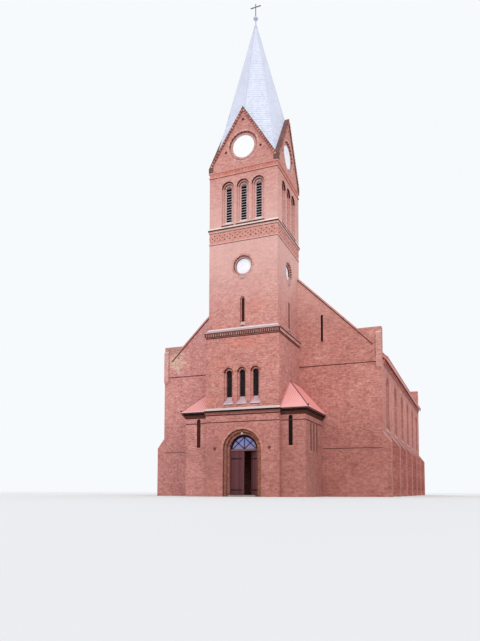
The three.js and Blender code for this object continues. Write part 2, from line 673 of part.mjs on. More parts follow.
// Lean-to against the tower's flank with a hipped front
function annexRoof(side) {
  const { front, wall, outer, eavesBottom, eavesTop, overhang } = ANNEX;
  const { ridge, thickness, end } = ANNEX_ROOF;
  const eave = { x: [TOWER_HALF, outer + overhang], y: [front - overhang, NAVE.front] };
  const room = { x: [TOWER_HALF - 1, outer - wall], y: [front + wall, NAVE.front - end] };
  const shell = block(eave.x, eave.y, [eavesBottom, eavesTop]).add(leanTo(eave, [eavesTop, ridge]));
  const attic = leanTo(room, [eavesTop - 1, ridge - thickness]);
  const well = block(room.x, room.y, [eavesBottom - 1, eavesTop]);
  const roof = cut(shell, [attic, well]);
  return side > 0 ? roof : roof.mirror([1, 0, 0]);
}

// Three slopes over a rectangle that meet the tower in a level ridge
function leanTo(base, [z0, z1]) {
  const top = { x: [base.x[0], base.x[0] + ANNEX_ROOF.tip], y: [ANNEX_ROOF.hipY, base.y[1]] };
  return taperedBlock(base, top, [z0, z1]);
}

function addAnnex(label, side) {
  place(church, `annex_${label}_front_wall`, annexFrontWall(side), BRICK);
  place(church, `annex_${label}_side_wall`, annexSideWall(side), BRICK);
  place(church, `annex_${label}_roof`, annexRoof(side), ROOF_TILE);
}

const copingLine = (x) => COPING.ridge - ROOF.slope * x;

// One half of a gable wall. Depth runs inward from its outer plane, towards the given direction.
function gableWallHalf(side, { plane, inward, wall, edge, stringStarts }) {
  const depth = (from, to) => [plane + inward * from, plane + inward * to];
  const pierInner = (COPING.ridge - CORNER_PIER_TOP) / ROOF.slope;
  const shape = outline([
    ...edge.map(([x, z]) => [side * x, z]),
    [side * edge[edge.length - 1][0], copingLine(edge[edge.length - 1][0])],
    [side * pierInner, CORNER_PIER_TOP],
    [side * NAVE.half, CORNER_PIER_TOP],
    [side * NAVE.half, 0],
  ]);
  const topX = edge[edge.length - 1][0];
  const coping = outline([
    [side * topX, copingLine(topX)],
    [side * COPING.foot, copingLine(COPING.foot)],
    [side * COPING.foot, copingLine(COPING.foot) - COPING.thickness],
    [side * topX, copingLine(topX) - COPING.thickness],
  ]);
  const strings = NAVE_STRINGS.map(({ bottom, top, reach }, i) => (
    block([side * stringStarts[i], side * KNEELER.inner], depth(-reach, 1), [bottom, top])
  ));
  const { half } = NAVE;
  const { reach } = BUTTRESS;
  const buttress = outline([
    [side * half, 0], [side * (half + reach), 0],
    [side * (half + reach), BUTTRESS.shoulder], [side * half, BUTTRESS.top],
  ]);
  const kneeler = outline([
    [plane + inward, KNEELER.bottom],
    [plane - inward * KNEELER.reach, KNEELER.bottom + KNEELER.reach],
    [plane - inward * KNEELER.reach, KNEELER.top - KNEELER.reach],
    [plane + inward, KNEELER.top],
  ]);
  const body = join([
    alongY(shape, depth(0, wall)),
    alongY(coping, depth(-COPING.reach, wall)),
    alongY(buttress, depth(0, wall)),
    alongX(kneeler, [side * KNEELER.inner, side * half]),
    ...strings,
  ]);
  const slit = GABLE_SLIT;
  const spread = slit.half + SPLAY.side;
  return cut(body, [
    alongY(arch(side * slit.x, slit.half, slit.sill, slit.crown), depth(-1, wall + 1)),
    block(
      [side * (slit.x - spread), side * (slit.x + spread)],
      depth(slit.skin, wall + 1),
      [slit.sill - SPLAY.below, slit.crown + SPLAY.above],
    ),
  ]);
}

// Long wall with its eaves course, round-arched windows and buttresses between the bays
function naveSideWall(side) {
  const length = [AISLE_START, AISLE_END];
  const under = (x) => ROOF.ridge - ROOF.thickness - ROOF.slope * x - SEAT_GAP;
  const { half } = NAVE;
  const section = outline([
    [side * NAVE_INNER, 0],
    [side * half, 0],
    [side * half, under(half)],
    [side * NAVE_INNER, under(NAVE_INNER)],
  ]);
  const courses = EAVES_STEPS.map(({ bottom, top, reach }) => (
    block([side * (half - 1), side * (half + reach)], length, [bottom, top])
  ));
  const buttresses = [];
  for (let bay = 1; bay < NAVE.bays; bay += 1) buttresses.push(buttress(side, AISLE_START + bay * BAY));
  const tools = [];
  const sills = [];
  for (let bay = 0; bay < NAVE.bays; bay += 1) {
    const y = AISLE_START + (bay + 0.5) * BAY;
    tools.push(alongX(
      arch(y, NAVE_LIGHT.half, NAVE_LIGHT.sill, NAVE_LIGHT.crown),
      [side * (NAVE_INNER - 1), side * half],
    ));
    tools.push(alongX(
      arch(y, NAVE_RECESS.half, NAVE_RECESS.sill, NAVE_RECESS.crown),
      [side * (half - NAVE_RECESS.depth), side * (half + 1)],
    ));
    sills.push(naveSill(side, y));
  }
  return join([cut(join([alongY(section, length), ...courses, ...buttresses]), tools), ...sills]);
}

function naveSill(side, y) {
  const outer = side * NAVE.half;
  const inner = side * (NAVE.half - NAVE_RECESS.depth);
  const shape = outline([[outer, NAVE_RECESS.sill], [inner, NAVE_RECESS.sill], [inner, NAVE_LIGHT.sill]]);
  return alongY(shape, [y - NAVE_RECESS.half, y + NAVE_RECESS.half]);
}

function buttress(side, y) {
  const { reach, width, shoulder, top } = BUTTRESS;
  const inner = side * (NAVE.half - 1);
  const outer = side * (NAVE.half + reach);
  const shape = outline([[inner, 0], [outer, 0], [outer, shoulder], [inner, top]]);
  return alongY(shape, [y - width / 2, y + width / 2]);
}

// Roof slab from the shaft's back to the east gable, notched round the west gable wall
function roofSlope(side) {
  const { ridge, slope, thickness, eaves, start } = ROOF;
  const top = (x) => ridge - slope * x;
  const section = outline([
    [side * start, top(start)], [side * eaves, top(eaves)],
    [side * eaves, top(eaves) - thickness], [side * start, top(start) - thickness],
  ]);
  const notch = block(
    [side * (SHAFT_HALF - SEAT_GAP), side * (eaves + 1)],
    [SHAFT_BACK, AISLE_START],
    [0, ridge],
  );
  return alongY(section, [SHAFT_BACK + SEAT_GAP, AISLE_END]).subtract(notch);
}

function naveGlass(side) {
  const { half, sill, crown, margin, pane } = NAVE_LIGHT;
  const first = AISLE_START + BAY / 2 - half - margin;
  const last = AISLE_END - BAY / 2 + half + margin;
  const thickness = [side * (NAVE_INNER - pane), side * NAVE_INNER];
  return block(thickness, [first, last], [sill - margin, crown + margin]);
}

// Half of the wall that the tower stands in, ending at the tower and its set-back shaft
function westWallHalf(side) {
  const { seat } = UPPER_CORNICE;
  return gableWallHalf(side, {
    plane: NAVE.front,
    inward: 1,
    wall: WEST_WALL,
    edge: [[TOWER_HALF, 0], [TOWER_HALF, seat], [SHAFT_HALF, seat]],
    stringStarts: WEST_STRING_STARTS,
  });
}

function eastWall() {
  const halves = [-1, 1].map((side) => gableWallHalf(side, {
    plane: NAVE.back,
    inward: -1,
    wall: NAVE.wall,
    edge: [[0, 0]],
    stringStarts: [0, 0],
  }));
  return join(halves);
}

function addNave() {
  for (const [label, side] of [['left', -1], ['right', 1]]) {
    place(church, `nave_west_${label}_wall`, westWallHalf(side), BRICK);
    place(church, `nave_${label}_wall`, naveSideWall(side), BRICK);
    place(church, `nave_roof_${label}`, roofSlope(side), ROOF_TILE);
    place(church, `nave_glass_${label}`, naveGlass(side), GLASS);
  }
  place(church, 'nave_east_wall', eastWall(), BRICK);
  const floor = block([-NAVE_INNER, NAVE_INNER], [TOWER_BACK, AISLE_END], [0, GROUND_FLOOR]);
  place(church, 'nave_floor', floor, CONCRETE);
}

addEntrance();
addLowerTower();
addShaft();
addSpire();
addAnnex('left', -1);
addAnnex('right', 1);
addNave();

export default church;
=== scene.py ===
# %% [markdown]
# # A brick church with a west tower
# The building comes packed as a frame of plain solids. This lesson gives each of them its real finish
# and adds what a mason, a roofer, a joiner and a smith would add: arches of wedge bricks, toothed
# friezes, tiles, shingles, louvre slats, door boards and ironwork. All sizes are metres. X runs to the
# right of the door, Y runs from the door to the far gable, and Z is up.

# %% Load the frame
import bpy
import json
import math
from mathutils import Matrix, Vector


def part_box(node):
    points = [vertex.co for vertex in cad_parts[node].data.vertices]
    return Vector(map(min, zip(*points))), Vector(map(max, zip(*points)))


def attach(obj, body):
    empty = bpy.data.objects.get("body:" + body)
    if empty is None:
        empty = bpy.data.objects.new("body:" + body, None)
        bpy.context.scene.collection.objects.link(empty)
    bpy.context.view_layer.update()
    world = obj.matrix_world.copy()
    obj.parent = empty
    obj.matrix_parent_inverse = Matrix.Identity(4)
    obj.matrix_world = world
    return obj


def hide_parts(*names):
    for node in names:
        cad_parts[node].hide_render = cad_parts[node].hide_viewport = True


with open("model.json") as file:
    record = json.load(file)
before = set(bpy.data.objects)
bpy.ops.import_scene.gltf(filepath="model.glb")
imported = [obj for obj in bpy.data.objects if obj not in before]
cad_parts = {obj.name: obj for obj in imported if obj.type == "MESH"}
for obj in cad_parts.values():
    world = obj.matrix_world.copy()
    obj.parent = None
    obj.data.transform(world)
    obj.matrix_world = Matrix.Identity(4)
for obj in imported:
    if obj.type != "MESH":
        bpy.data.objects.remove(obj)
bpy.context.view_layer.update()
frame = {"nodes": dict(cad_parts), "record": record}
nodes = frame["nodes"]

# %% [markdown]
# Every later step needs the same few planes of the building: the front of the tower, its axis, the face
# of the set-back shaft and the nave's walls. They are read from the frame's boxes, so that they follow
# the solids. Only the depth of the louvres and the reach of the buttresses are stated, because no box
# shows those faces.

# %% Main planes of the building
LOUVRE_DEPTH, BUTTRESS_REACH = 0.24, 0.54
front_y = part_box("portal_left_pier")[0].y
tower_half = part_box("tower_right_wall")[1].x
axis_y = front_y + tower_half
shaft_half = axis_y - (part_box("belfry_louvres_front")[0].y - LOUVRE_DEPTH)
nave_front_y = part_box("annex_right_side_wall")[1].y
nave_reach = nave_front_y - axis_y
nave_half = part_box("nave_right_wall")[1].x - BUTTRESS_REACH
print(f"tower half {tower_half:.2f}, shaft half {shaft_half:.2f}, nave half {nave_half:.2f}")

# %% [markdown]
# The camera stands low and to the right of the door, where the photo was taken. The focal length, the
# tilt and the place were worked out from the lines of the cornices. The lens is given for the long side
# of the picture. The view is framed upwards with a lens shift, because the tower's edges stay nearly
# upright.

# %% Camera
IMAGE_HEIGHT = 641
FOCAL_PIXELS = 577.5
OPTICAL_CENTRE_ROW = 451.5
SENSOR_WIDTH, VIEW_END = 36, 500
CAMERA_FROM_DOOR = Vector((13.405, -33.458, 0.3))
CAMERA_TURN, CAMERA_TILT, CAMERA_ROLL = (math.radians(angle) for angle in (21.98, 4.0, 0.15))

scene = bpy.context.scene
camera = bpy.data.objects.new("camera", bpy.data.cameras.new("camera"))
scene.collection.objects.link(camera)
bpy.context.scene.camera = camera
camera.data.sensor_width = SENSOR_WIDTH
camera.data.lens = FOCAL_PIXELS / IMAGE_HEIGHT * SENSOR_WIDTH
camera.data.shift_y = (OPTICAL_CENTRE_ROW - IMAGE_HEIGHT / 2) / IMAGE_HEIGHT
camera.data.clip_end = VIEW_END
turned_view = Matrix.Rotation(CAMERA_TURN, 4, "Z") @ Matrix.Rotation(math.pi / 2 + CAMERA_TILT, 4, "X")
camera.matrix_world = (Matrix.Translation(Vector((0, front_y, 0)) + CAMERA_FROM_DOOR) @ turned_view
                       @ Matrix.Rotation(CAMERA_ROLL, 4, "Z"))
print(f"camera: lens {camera.data.lens:.1f} mm, shift {camera.data.shift_y:.3f}")

# %% [markdown]
# A building is lit as an overcast day lights it: a pale sky from all round and one broad, soft sun over
# the visitor's right shoulder, which gives the cornices a shadow without hard edges.

# %% Sky and sun
SKY_COLOR, SKY_STRENGTH = (0.93, 0.955, 0.975, 1), 1.0
SUN_STRENGTH, SUN_WIDTH = 1.3, math.radians(60)
SUN_ANGLES = (math.radians(50), 0, math.radians(25))

scene.view_settings.view_transform = "Standard"
world = bpy.data.worlds.new("pale_sky")
scene.world = world
world.use_nodes = True
sky = world.node_tree.nodes["Background"]
sky.inputs["Color"].default_value = SKY_COLOR
sky.inputs["Strength"].default_value = SKY_STRENGTH
sun = bpy.data.objects.new("sun", bpy.data.lights.new("sun", "SUN"))
sun.data.energy = SUN_STRENGTH
sun.data.angle = SUN_WIDTH
sun.rotation_euler = SUN_ANGLES
scene.collection.objects.link(sun)
print("sky and sun ready")


# %% [markdown]
# Each finish is a tree of shader nodes. To write it as plain arithmetic, `Sock` wraps one output of a
# node and adds a Math node whenever Python adds, subtracts, multiplies, divides or compares it, on
# either side of the sign. `Finish` owns the material. Its method `node` makes any other node from its
# type, its settings and the values or links of its sockets, and colours and vectors go through `mix`
# and `vector`. Colours are written as red, green and blue, and a ramp's stops as a table from place to
# colour.

# %% Shader arithmetic
class Sock:
    """One output of a shader node, which can be used in a Python expression."""

    def __init__(self, finish, socket):
        self.finish = finish
        self.socket = socket

    def also(self, output):
        return Sock(self.finish, self.socket.node.outputs[output])

    def math(self, operation, *others):
        return self.finish.node("ShaderNodeMath", {"operation": operation}, dict(enumerate((self, *others))))

    def __add__(self, other):
        return self.math("ADD", other)

    def __sub__(self, other):
        return self.math("SUBTRACT", other)

    def __mul__(self, other):
        return self.math("MULTIPLY", other)

    def __truediv__(self, other):
        return self.math("DIVIDE", other)

    def __rsub__(self, other):
        return self.math("MULTIPLY", -1.0) + other

    def __gt__(self, other):
        return self.math("GREATER_THAN", other)

    def __lt__(self, other):
        return self.math("LESS_THAN", other)

    __radd__ = __add__
    __rmul__ = __mul__


class Finish:
    """A material with one Principled shader, and one method that adds any further node."""

    def __init__(self, name, **constants):
        self.material = bpy.data.materials.new(name)
        self.material.use_nodes = True
        self.tree = self.material.node_tree
        self.tree.nodes.clear()
        self.shader = self.tree.nodes.new("ShaderNodeBsdfPrincipled")
        output = self.tree.nodes.new("ShaderNodeOutputMaterial")
        self.tree.links.new(self.shader.outputs[0], output.inputs["Surface"])
        for socket, value in constants.items():
            self.feed(self.shader.inputs[socket.replace("_", " ")], value)

    def feed(self, socket, value):
        if isinstance(value, Sock):
            self.tree.links.new(value.socket, socket)
        else:
            socket.default_value = (*value, 1.0) if socket.type == "RGBA" else value

    def node(self, kind, settings=None, inputs=None, output=0):
        made = self.tree.nodes.new(kind)
        for key, value in (settings or {}).items():
            if key == "stops":
                self.place_stops(made.color_ramp.elements, list(value.items()))
            else:
                setattr(made, key, value)
        for key, value in (inputs or {}).items():
            self.feed(made.inputs[key], value)
        return Sock(self, made.outputs[output])

    def place_stops(self, elements, stops):
        while len(elements) > 1:
            elements.remove(elements[0])
        elements[0].position = stops[0][0]
        for position, _ in stops[1:]:
            elements.new(position)
        for element, (_, color) in zip(elements, stops):
            element.color = (*color, 1.0)

    def mix(self, factor, first, second, blend="MIX"):
        settings = {"data_type": "RGBA", "blend_type": blend, "clamp_factor": True}
        return self.node("ShaderNodeMix", settings, {0: factor, 6: first, 7: second}, 2)

    def vector(self, operation, first, second, output=0):
        return self.node("ShaderNodeVectorMath", {"operation": operation}, {0: first, 1: second}, output)

    def split(self, sock):
        parts = self.node("ShaderNodeSeparateXYZ", None, {0: sock})
        return parts, parts.also(1), parts.also(2)

    def join(self, x, y):
        return self.node("ShaderNodeCombineXYZ", None, {0: x, 1: y})

    def place(self):
        return self.node("ShaderNodeTexCoord", output="Object")

    def noise(self, where, scale, detail=3.0, roughness=0.55):
        inputs = {"Vector": where, "Scale": scale, "Detail": detail, "Roughness": roughness}
        return self.node("ShaderNodeTexNoise", None, inputs)

    def ramp(self, factor, stops):
        return self.node("ShaderNodeValToRGB", {"stops": stops}, {0: factor})

    def step(self, value, low, high):
        """Runs smoothly from 0 to 1 while the value goes from low to high."""
        settings = {"interpolation_type": "SMOOTHSTEP"}
        return self.node("ShaderNodeMapRange", settings, {"Value": value, "From Min": low, "From Max": high})

    def random_piece(self):
        return self.node("ShaderNodeNewGeometry", output="Random Per Island")

    def on_wall(self, where):
        """The coordinate along a wall, the height, and the three parts of the wall's normal."""
        x, y, z = self.split(where)
        normal = self.split(self.node("ShaderNodeNewGeometry", output="True Normal"))
        sideways = normal[0].math("ABSOLUTE") > normal[1].math("ABSOLUTE")
        return x + (y - x) * sideways, z, normal

    def courses(self, along, up, width, height, joint, smooth=0.1, mortar=0.0, **bond):
        """A grey value for each brick, tile or pane, and the mask of the joints between them."""
        inputs = {
            "Vector": self.join(along, up), "Color1": (0, 0, 0), "Color2": (1, 1, 1),
            "Mortar": (mortar,) * 3, "Scale": 1.0, "Mortar Size": joint, "Mortar Smooth": smooth,
            "Brick Width": width, "Row Height": height,
        }
        grey = self.node("ShaderNodeTexBrick", bond, inputs)
        return grey, grey.also(1)

    def done(self, color, roughness, height, depth, strength=0.6):
        """Feeds the shader with a colour, a roughness and the relief of a height."""
        inputs = {"Height": height, "Distance": depth, "Strength": strength}
        normal = self.node("ShaderNodeBump", None, inputs)
        for socket, value in (("Base Color", color), ("Roughness", roughness), ("Normal", normal)):
            self.feed(self.shader.inputs[socket], value)
        return self.material


print("shader helpers ready")

# %% [markdown]
# The walls are facing brick, laid in courses of 75 mm. From the yard one course is hardly wider than a
# pixel, so what the eye reads is the drift of colour: purple and sooty below, salmon red above, with
# patches of newer orange brick and pale weathering. A Brick Texture gives every brick its own grey
# value, a ramp turns it into a brick's colour, and slow noise moves whole areas. The wall's normal
# picks the coordinate along the wall.

# %% Facing brick
COURSE, BRICK_LENGTH, MORTAR_JOINT = 0.075, 0.26, 0.009
BOND = {"offset": 0.5, "offset_frequency": 2, "squash": 0.5, "squash_frequency": 2}
SLOPE_STARTS, SLOPE_FULL = 0.2, 0.3
BRICK_STOPS = {0.0: (0.26, 0.085, 0.07), 0.3: (0.41, 0.14, 0.11), 0.6: (0.53, 0.205, 0.158),
               0.85: (0.61, 0.265, 0.205), 1.0: (0.69, 0.37, 0.30)}
DAMP_TONE, HIGH_TONE, WASH_TONE = (0.72, 0.62, 0.59), (0.86, 0.56, 0.51), (1.05, 1.06, 1.13)
# The eaves tone is painted shade under the annexes' eaves.
EAVES_SHADE_TONE, BLOOM_TONE, STAIN_AND_SHADOW_TONE = (0.27, 0.18, 0.14), (0.74, 0.53, 0.49), (0.31, 0.105, 0.1)
MORTAR_DARK, MORTAR_LIGHT = (0.36, 0.27, 0.25), (0.58, 0.47, 0.44)
ORANGE, CREAM, MOSS = (0.70, 0.20, 0.13), (0.60, 0.46, 0.30), (0.16, 0.15, 0.10)
KNEELER_TONE = (0.62, 0.34, 0.29)
# Centre, radii and strength of each patch, in metres from the door
ORANGE_PATCHES = (
    ((0.3, 0, 9.75), (1.3, 0.5, 0.35), 0.55), ((-1.5, 0, 8.6), (0.45, 0.4, 0.3), 0.6),
    ((-2.3, 0, 6.1), (0.4, 0.4, 0.3), 0.6), ((0.9, 0, 12.1), (0.9, 0.5, 0.5), 0.45),
)
# The stain left of the portal is partly a real stain and partly painted shadow.
STAIN_AND_SHADOW_PATCH = ((-2.0, 0, 2.4), (0.5, 0.4, 1.5), 0.45)
CREAM_PATCH = ((-7.1, 4.48, 10.0), (0.75, 0.5, 0.85), 0.75)
MOSS_PATCH = ((-7.3, 4.48, 11.1), (0.9, 0.6, 0.45), 0.35)
# Foot, head and strength of the orange bands
ORANGE_BANDS = ((16.54, 17.25, 0.55), (20.99, 21.38, 0.2))
KNEELER_INNER, KNEELER_FOOT = 7.6, 8.3


def patch(finish, where, centre, radii, strength):
    """Rises to its strength inside a ragged oval, whose centre is given from the door."""
    middle = (centre[0], front_y + centre[1], centre[2])
    offset = finish.vector("DIVIDE", finish.vector("SUBTRACT", where, middle), radii)
    length = finish.vector("LENGTH", offset, (0, 0, 0), 1)
    edge = finish.noise(where, 3.0, 5.0, 0.7)
    return finish.step(length + (edge - 0.5) * 2.6, 1.2, 0.6) * strength


def facing_brick(name, weathering, shade=None, patches=True, eaves=None):
    """weathering colours the slopes, shade tints the upright faces as painted light, eaves is where painted
    shade starts.
    """
    finish = Finish(name, Specular_IOR_Level=0.2)
    where = finish.place()
    along, z, normal = finish.on_wall(where)
    grey, joint = finish.courses(along, z, BRICK_LENGTH, COURSE, MORTAR_JOINT / 2, mortar=0.5, **BOND)
    areas = finish.noise(where, 0.32, 4.0)
    blotches = finish.noise(where, 1.7, 5.0, 0.62)
    streaks = finish.noise(finish.join(along * 2.2, z * 0.22), 1.0, 4.0, 0.6)
    fine = finish.noise(where, 9.0, 3.0, 0.75)
    value = grey * 0.5 + (areas - 0.5) * 0.55 + (blotches - 0.5) * 0.6 + (fine - 0.5) * 1.1 + 0.265
    color = finish.ramp(value.math("MAXIMUM", 0.0), BRICK_STOPS)
    damp = finish.step(z, 7.5, 2.5) * 0.8 + finish.step(streaks, 0.52, 0.75) * 0.3
    color = finish.mix(damp, color, DAMP_TONE, "MULTIPLY")
    color = finish.mix(1.0, color, WASH_TONE, "MULTIPLY")
    high = finish.step(z, 10.2, 16.0) * 0.5 + finish.step(z, 17.0, 23.0) * -0.44
    color = finish.mix(high, color, HIGH_TONE)
    bloom = finish.step(finish.noise(where, 0.9, 5.0, 0.66), 0.58, 0.78)
    color = finish.mix(bloom * 0.2, color, BLOOM_TONE)
    if patches:
        for low, high, strength in ORANGE_BANDS:
            color = finish.mix((z > low) * (z < high) * strength, color, ORANGE)
        fresh = sum(patch(finish, where, *spec) for spec in ORANGE_PATCHES)
        color = finish.mix(fresh * finish.step(grey, 0.25, 0.6), color, ORANGE)
        color = finish.mix(patch(finish, where, *CREAM_PATCH) * finish.step(grey, 0.2, 0.7), color, CREAM)
        # A patch left of the portal, partly stain and partly painted shadow.
        color = finish.mix(patch(finish, where, *STAIN_AND_SHADOW_PATCH), color, STAIN_AND_SHADOW_TONE)
        x, y, _ = finish.split(where)
        kneeler = (y < nave_front_y - 0.02) * (x.math("ABSOLUTE") > KNEELER_INNER) * (z > KNEELER_FOOT)
        color = finish.mix(kneeler * (0.2 + grey * 0.5), color, KNEELER_TONE)
    color = finish.mix(joint * 0.7, color, finish.mix(blotches, MORTAR_DARK, MORTAR_LIGHT))
    slope = finish.step(normal[2], SLOPE_STARTS, SLOPE_FULL)
    color = finish.mix(slope * (0.7 + blotches * 0.3), color, weathering)
    if patches:
        color = finish.mix(patch(finish, where, *MOSS_PATCH), color, MOSS)
    if shade:
        color = finish.mix(1 - slope, color, shade, "MULTIPLY")
    # Painted shade under the eaves: the wall darkens from the given height up.
    if eaves:
        color = finish.mix(finish.step(z, eaves, eaves + 0.05), color, EAVES_SHADE_TONE, "MULTIPLY")
    return finish.done(color, 0.78 + blotches * 0.18, 1 - joint + grey * 0.3 + blotches * 0.4, 0.006)


# The shade tints of the annexes and of the nave's west walls are painted light and shade: the left walls get
# lighter copies of the brick, the right ones darker copies.
ANNEX_SLOPE, NAVE_SLOPE, ANNEX_EAVES = (0.55, 0.44, 0.45), (0.60, 0.46, 0.46), 5.07
wall_brick = facing_brick("facing_brick", (0.60, 0.42, 0.40))
annex_right_brick = facing_brick("annex_right_brick", ANNEX_SLOPE, (0.92, 0.92, 0.92), False, ANNEX_EAVES)
annex_left_brick = facing_brick("annex_left_brick", ANNEX_SLOPE, (1.12, 1.2, 1.26), False, ANNEX_EAVES)
nave_left_brick = facing_brick("nave_left_brick", NAVE_SLOPE, (1.12, 1.18, 1.26))
nave_right_brick = facing_brick("nave_right_brick", NAVE_SLOPE, (0.98, 0.98, 0.97))
# The cornices' upright faces are darker copies of the brick: partly darker brick, partly painted shade under
# their steps.
lower_cornice_brick = facing_brick("lower_cornice_brick", (0.60, 0.51, 0.49), (0.74, 0.62, 0.58), False)
upper_cornice_brick = facing_brick("upper_cornice_brick", (0.46, 0.34, 0.36), (0.62, 0.5, 0.46), False)
print("facing brick:", len(wall_brick.node_tree.nodes), "nodes")

# %% [markdown]
# Arches, friezes and patterns are laid one brick at a time in mesh code. Their finish needs no brick
# pattern: each brick is an island of its own, and the shader reads a random number per island. The
# kinds differ only in the colours that this number picks from, from the dark brown of the inner portal,
# which is partly painted shade of its recess, to the orange of newer bricks.


# %% Single bricks
def single_bricks(name, *stops):
    """Each stop is a place from 0 to 1 with its colour, from dark to light."""
    finish = Finish(name, Specular_IOR_Level=0.25)
    where = finish.place()
    grain = finish.noise(where, 26.0, 4.0, 0.6)
    cloud = finish.noise(where, 2.3, 4.0)
    color = finish.ramp(finish.random_piece() * 0.75 + cloud * 0.45 - 0.08, dict(stops))
    color = finish.mix(finish.step(grain, 0.5, 0.75) * 0.3, color, (0.35, 0.18, 0.16))
    return finish.done(color, 0.75 + grain * 0.2, grain, 0.004)


arch_brick = single_bricks("arch_brick", (0.0, (0.26, 0.09, 0.08)), (0.4, (0.42, 0.15, 0.12)),
                           (0.75, (0.54, 0.22, 0.17)), (1.0, (0.64, 0.31, 0.25)))
orange_brick = single_bricks("orange_brick", (0.0, (0.58, 0.14, 0.10)), (0.5, (0.74, 0.22, 0.16)),
                             (1.0, (0.82, 0.34, 0.27)))
light_brick = single_bricks("light_brick", (0.0, (0.44, 0.20, 0.165)), (0.5, (0.57, 0.30, 0.26)),
                            (1.0, (0.69, 0.43, 0.38)))
light_red_brick = single_bricks("light_red_brick", (0.0, (0.38, 0.14, 0.11)), (0.5, (0.50, 0.20, 0.16)),
                                (1.0, (0.60, 0.28, 0.23)))
# The portal's inner orders are brown and ochre, darkened partly as painted shade of the recess.
brown_brick = single_bricks("brown_brick", (0.0, (0.17, 0.06, 0.04)), (0.5, (0.27, 0.10, 0.065)),
                            (1.0, (0.38, 0.16, 0.10)))
ochre_brick = single_bricks("ochre_brick", (0.0, (0.16, 0.05, 0.035)), (0.5, (0.27, 0.088, 0.06)),
                            (1.0, (0.42, 0.165, 0.105)))
print("single bricks: six kinds")

# %% [markdown]
# Clay tiles cover the nave and the annexes. Each course is a little darker at its lower edge, and single
# tiles differ. The annex roofs are pinker and cleaner than the nave's.


# %% Roof tiles
def clay_tiles(name, course, stops, lichen=0.08, course_edge=0.08):
    finish = Finish(name)
    where = finish.place()
    cloud = finish.noise(where, 0.6, 4.0)
    grain = finish.noise(where, 14.0, 5.0, 0.65)
    row = (finish.split(where)[2] / course).math("FRACT")
    color = finish.ramp(finish.random_piece() * 0.4 + cloud * 0.55 + grain * 0.25 - 0.05, stops)
    color = finish.mix(finish.step(row, 0.25, 0.0) * course_edge, color, (0.33, 0.15, 0.14))
    growth = finish.step(finish.noise(where, 1.9, 6.0, 0.7), 0.6, 0.78)
    color = finish.mix(growth * lichen, color, (0.52, 0.47, 0.42))
    return finish.done(color, 0.7 + grain * 0.25, row * 0.6 + grain * 0.5, 0.008, 0.7)


NAVE_TILE_STOPS = {0.0: (0.36, 0.12, 0.10), 0.4: (0.52, 0.20, 0.17), 0.75: (0.62, 0.28, 0.25),
                   1.0: (0.72, 0.38, 0.35)}
ANNEX_TILE_STOPS = {0.0: (0.62, 0.25, 0.24), 0.5: (0.76, 0.34, 0.33), 1.0: (0.84, 0.45, 0.43)}
RIB_STOPS = {0.0: (0.56, 0.21, 0.20), 0.5: (0.69, 0.27, 0.26), 1.0: (0.78, 0.36, 0.34)}
nave_tile = clay_tiles("nave_tile", 0.26, NAVE_TILE_STOPS, 0.35, 0.35)
annex_tile = clay_tiles("annex_tile", 0.2, ANNEX_TILE_STOPS)
rib_tile = clay_tiles("rib_tile", 0.2, RIB_STOPS)
deep_rib_tile = clay_tiles("deep_rib_tile", 0.2, {0.0: (0.40, 0.13, 0.125), 1.0: (0.54, 0.20, 0.19)})
print("tiles:", nave_tile.name, annex_tile.name)

# %% [markdown]
# The spire is clad in small pale shingles with a faint violet bloom. Courses and single shingles differ
# a little in tone. The pattern runs round the spire, so the angle about its axis is the coordinate
# along each course.

# %% Spire shingles
SHINGLE_HEIGHT, SHINGLES_ROUND = 0.16, 96
SHINGLE_STOPS = {0.0: (0.50, 0.52, 0.62), 0.5: (0.66, 0.69, 0.82), 1.0: (0.80, 0.82, 0.93)}


def shingles():
    finish = Finish("spire_shingle")
    where = finish.place()
    x, y, z = finish.split(where)
    angle = (y - axis_y).math("ARCTAN2", x) * (SHINGLES_ROUND / math.tau)
    grey, gap = finish.courses(angle, z, 1.0, SHINGLE_HEIGHT, 0.02, 0.3, offset=0.5)
    cloud = finish.noise(where, 0.9, 5.0, 0.6)
    streak = finish.noise(finish.join(angle * 0.6, z * 0.3), 1.0, 3.0)
    color = finish.ramp(grey * 0.4 + cloud * 0.5 + streak * 0.3 - 0.08, SHINGLE_STOPS)
    color = finish.mix(gap * 0.35, color, (0.28, 0.28, 0.34))
    color = finish.mix(finish.step(cloud, 0.6, 0.8) * 0.3, color, (0.62, 0.60, 0.60))
    height = (z / SHINGLE_HEIGHT).math("FRACT") * -0.5 - gap
    return finish.done(color, 0.5 + cloud * 0.25, height, 0.012, 0.4)


spire_shingle = shingles()
print("shingles:", SHINGLES_ROUND, "round the spire")

# %% [markdown]
# The smaller finishes share one recipe: a ramp over noise of two scales, a darker tone where dirt
# gathers, and relief from the same noise. Stone, plaster, iron, lead, paint and the dark browns and
# blacks of painted shade differ in their colours, scales and gloss.


# %% Stone, plaster, metal, paint and painted shade
def mottled(name, dark, light, dirt, scale, rough=0.8, metal=0.0, depth=0.004, dirty=0.4, gloss=0.3):
    finish = Finish(name, Metallic=metal, Specular_IOR_Level=gloss)
    where = finish.place()
    cloud = finish.noise(where, scale, 5.0, 0.6)
    grain = finish.noise(where, scale * 9, 4.0, 0.6)
    color = finish.ramp(cloud * 0.7 + grain * 0.4 - 0.05, {0.3: dark, 0.7: light})
    color = finish.mix(finish.step(finish.noise(where, scale * 0.6, 4.0), 0.52, 0.75) * dirty, color, dirt)
    return finish.done(color, rough - 0.1 + grain * 0.2, grain + cloud * 0.5, depth)
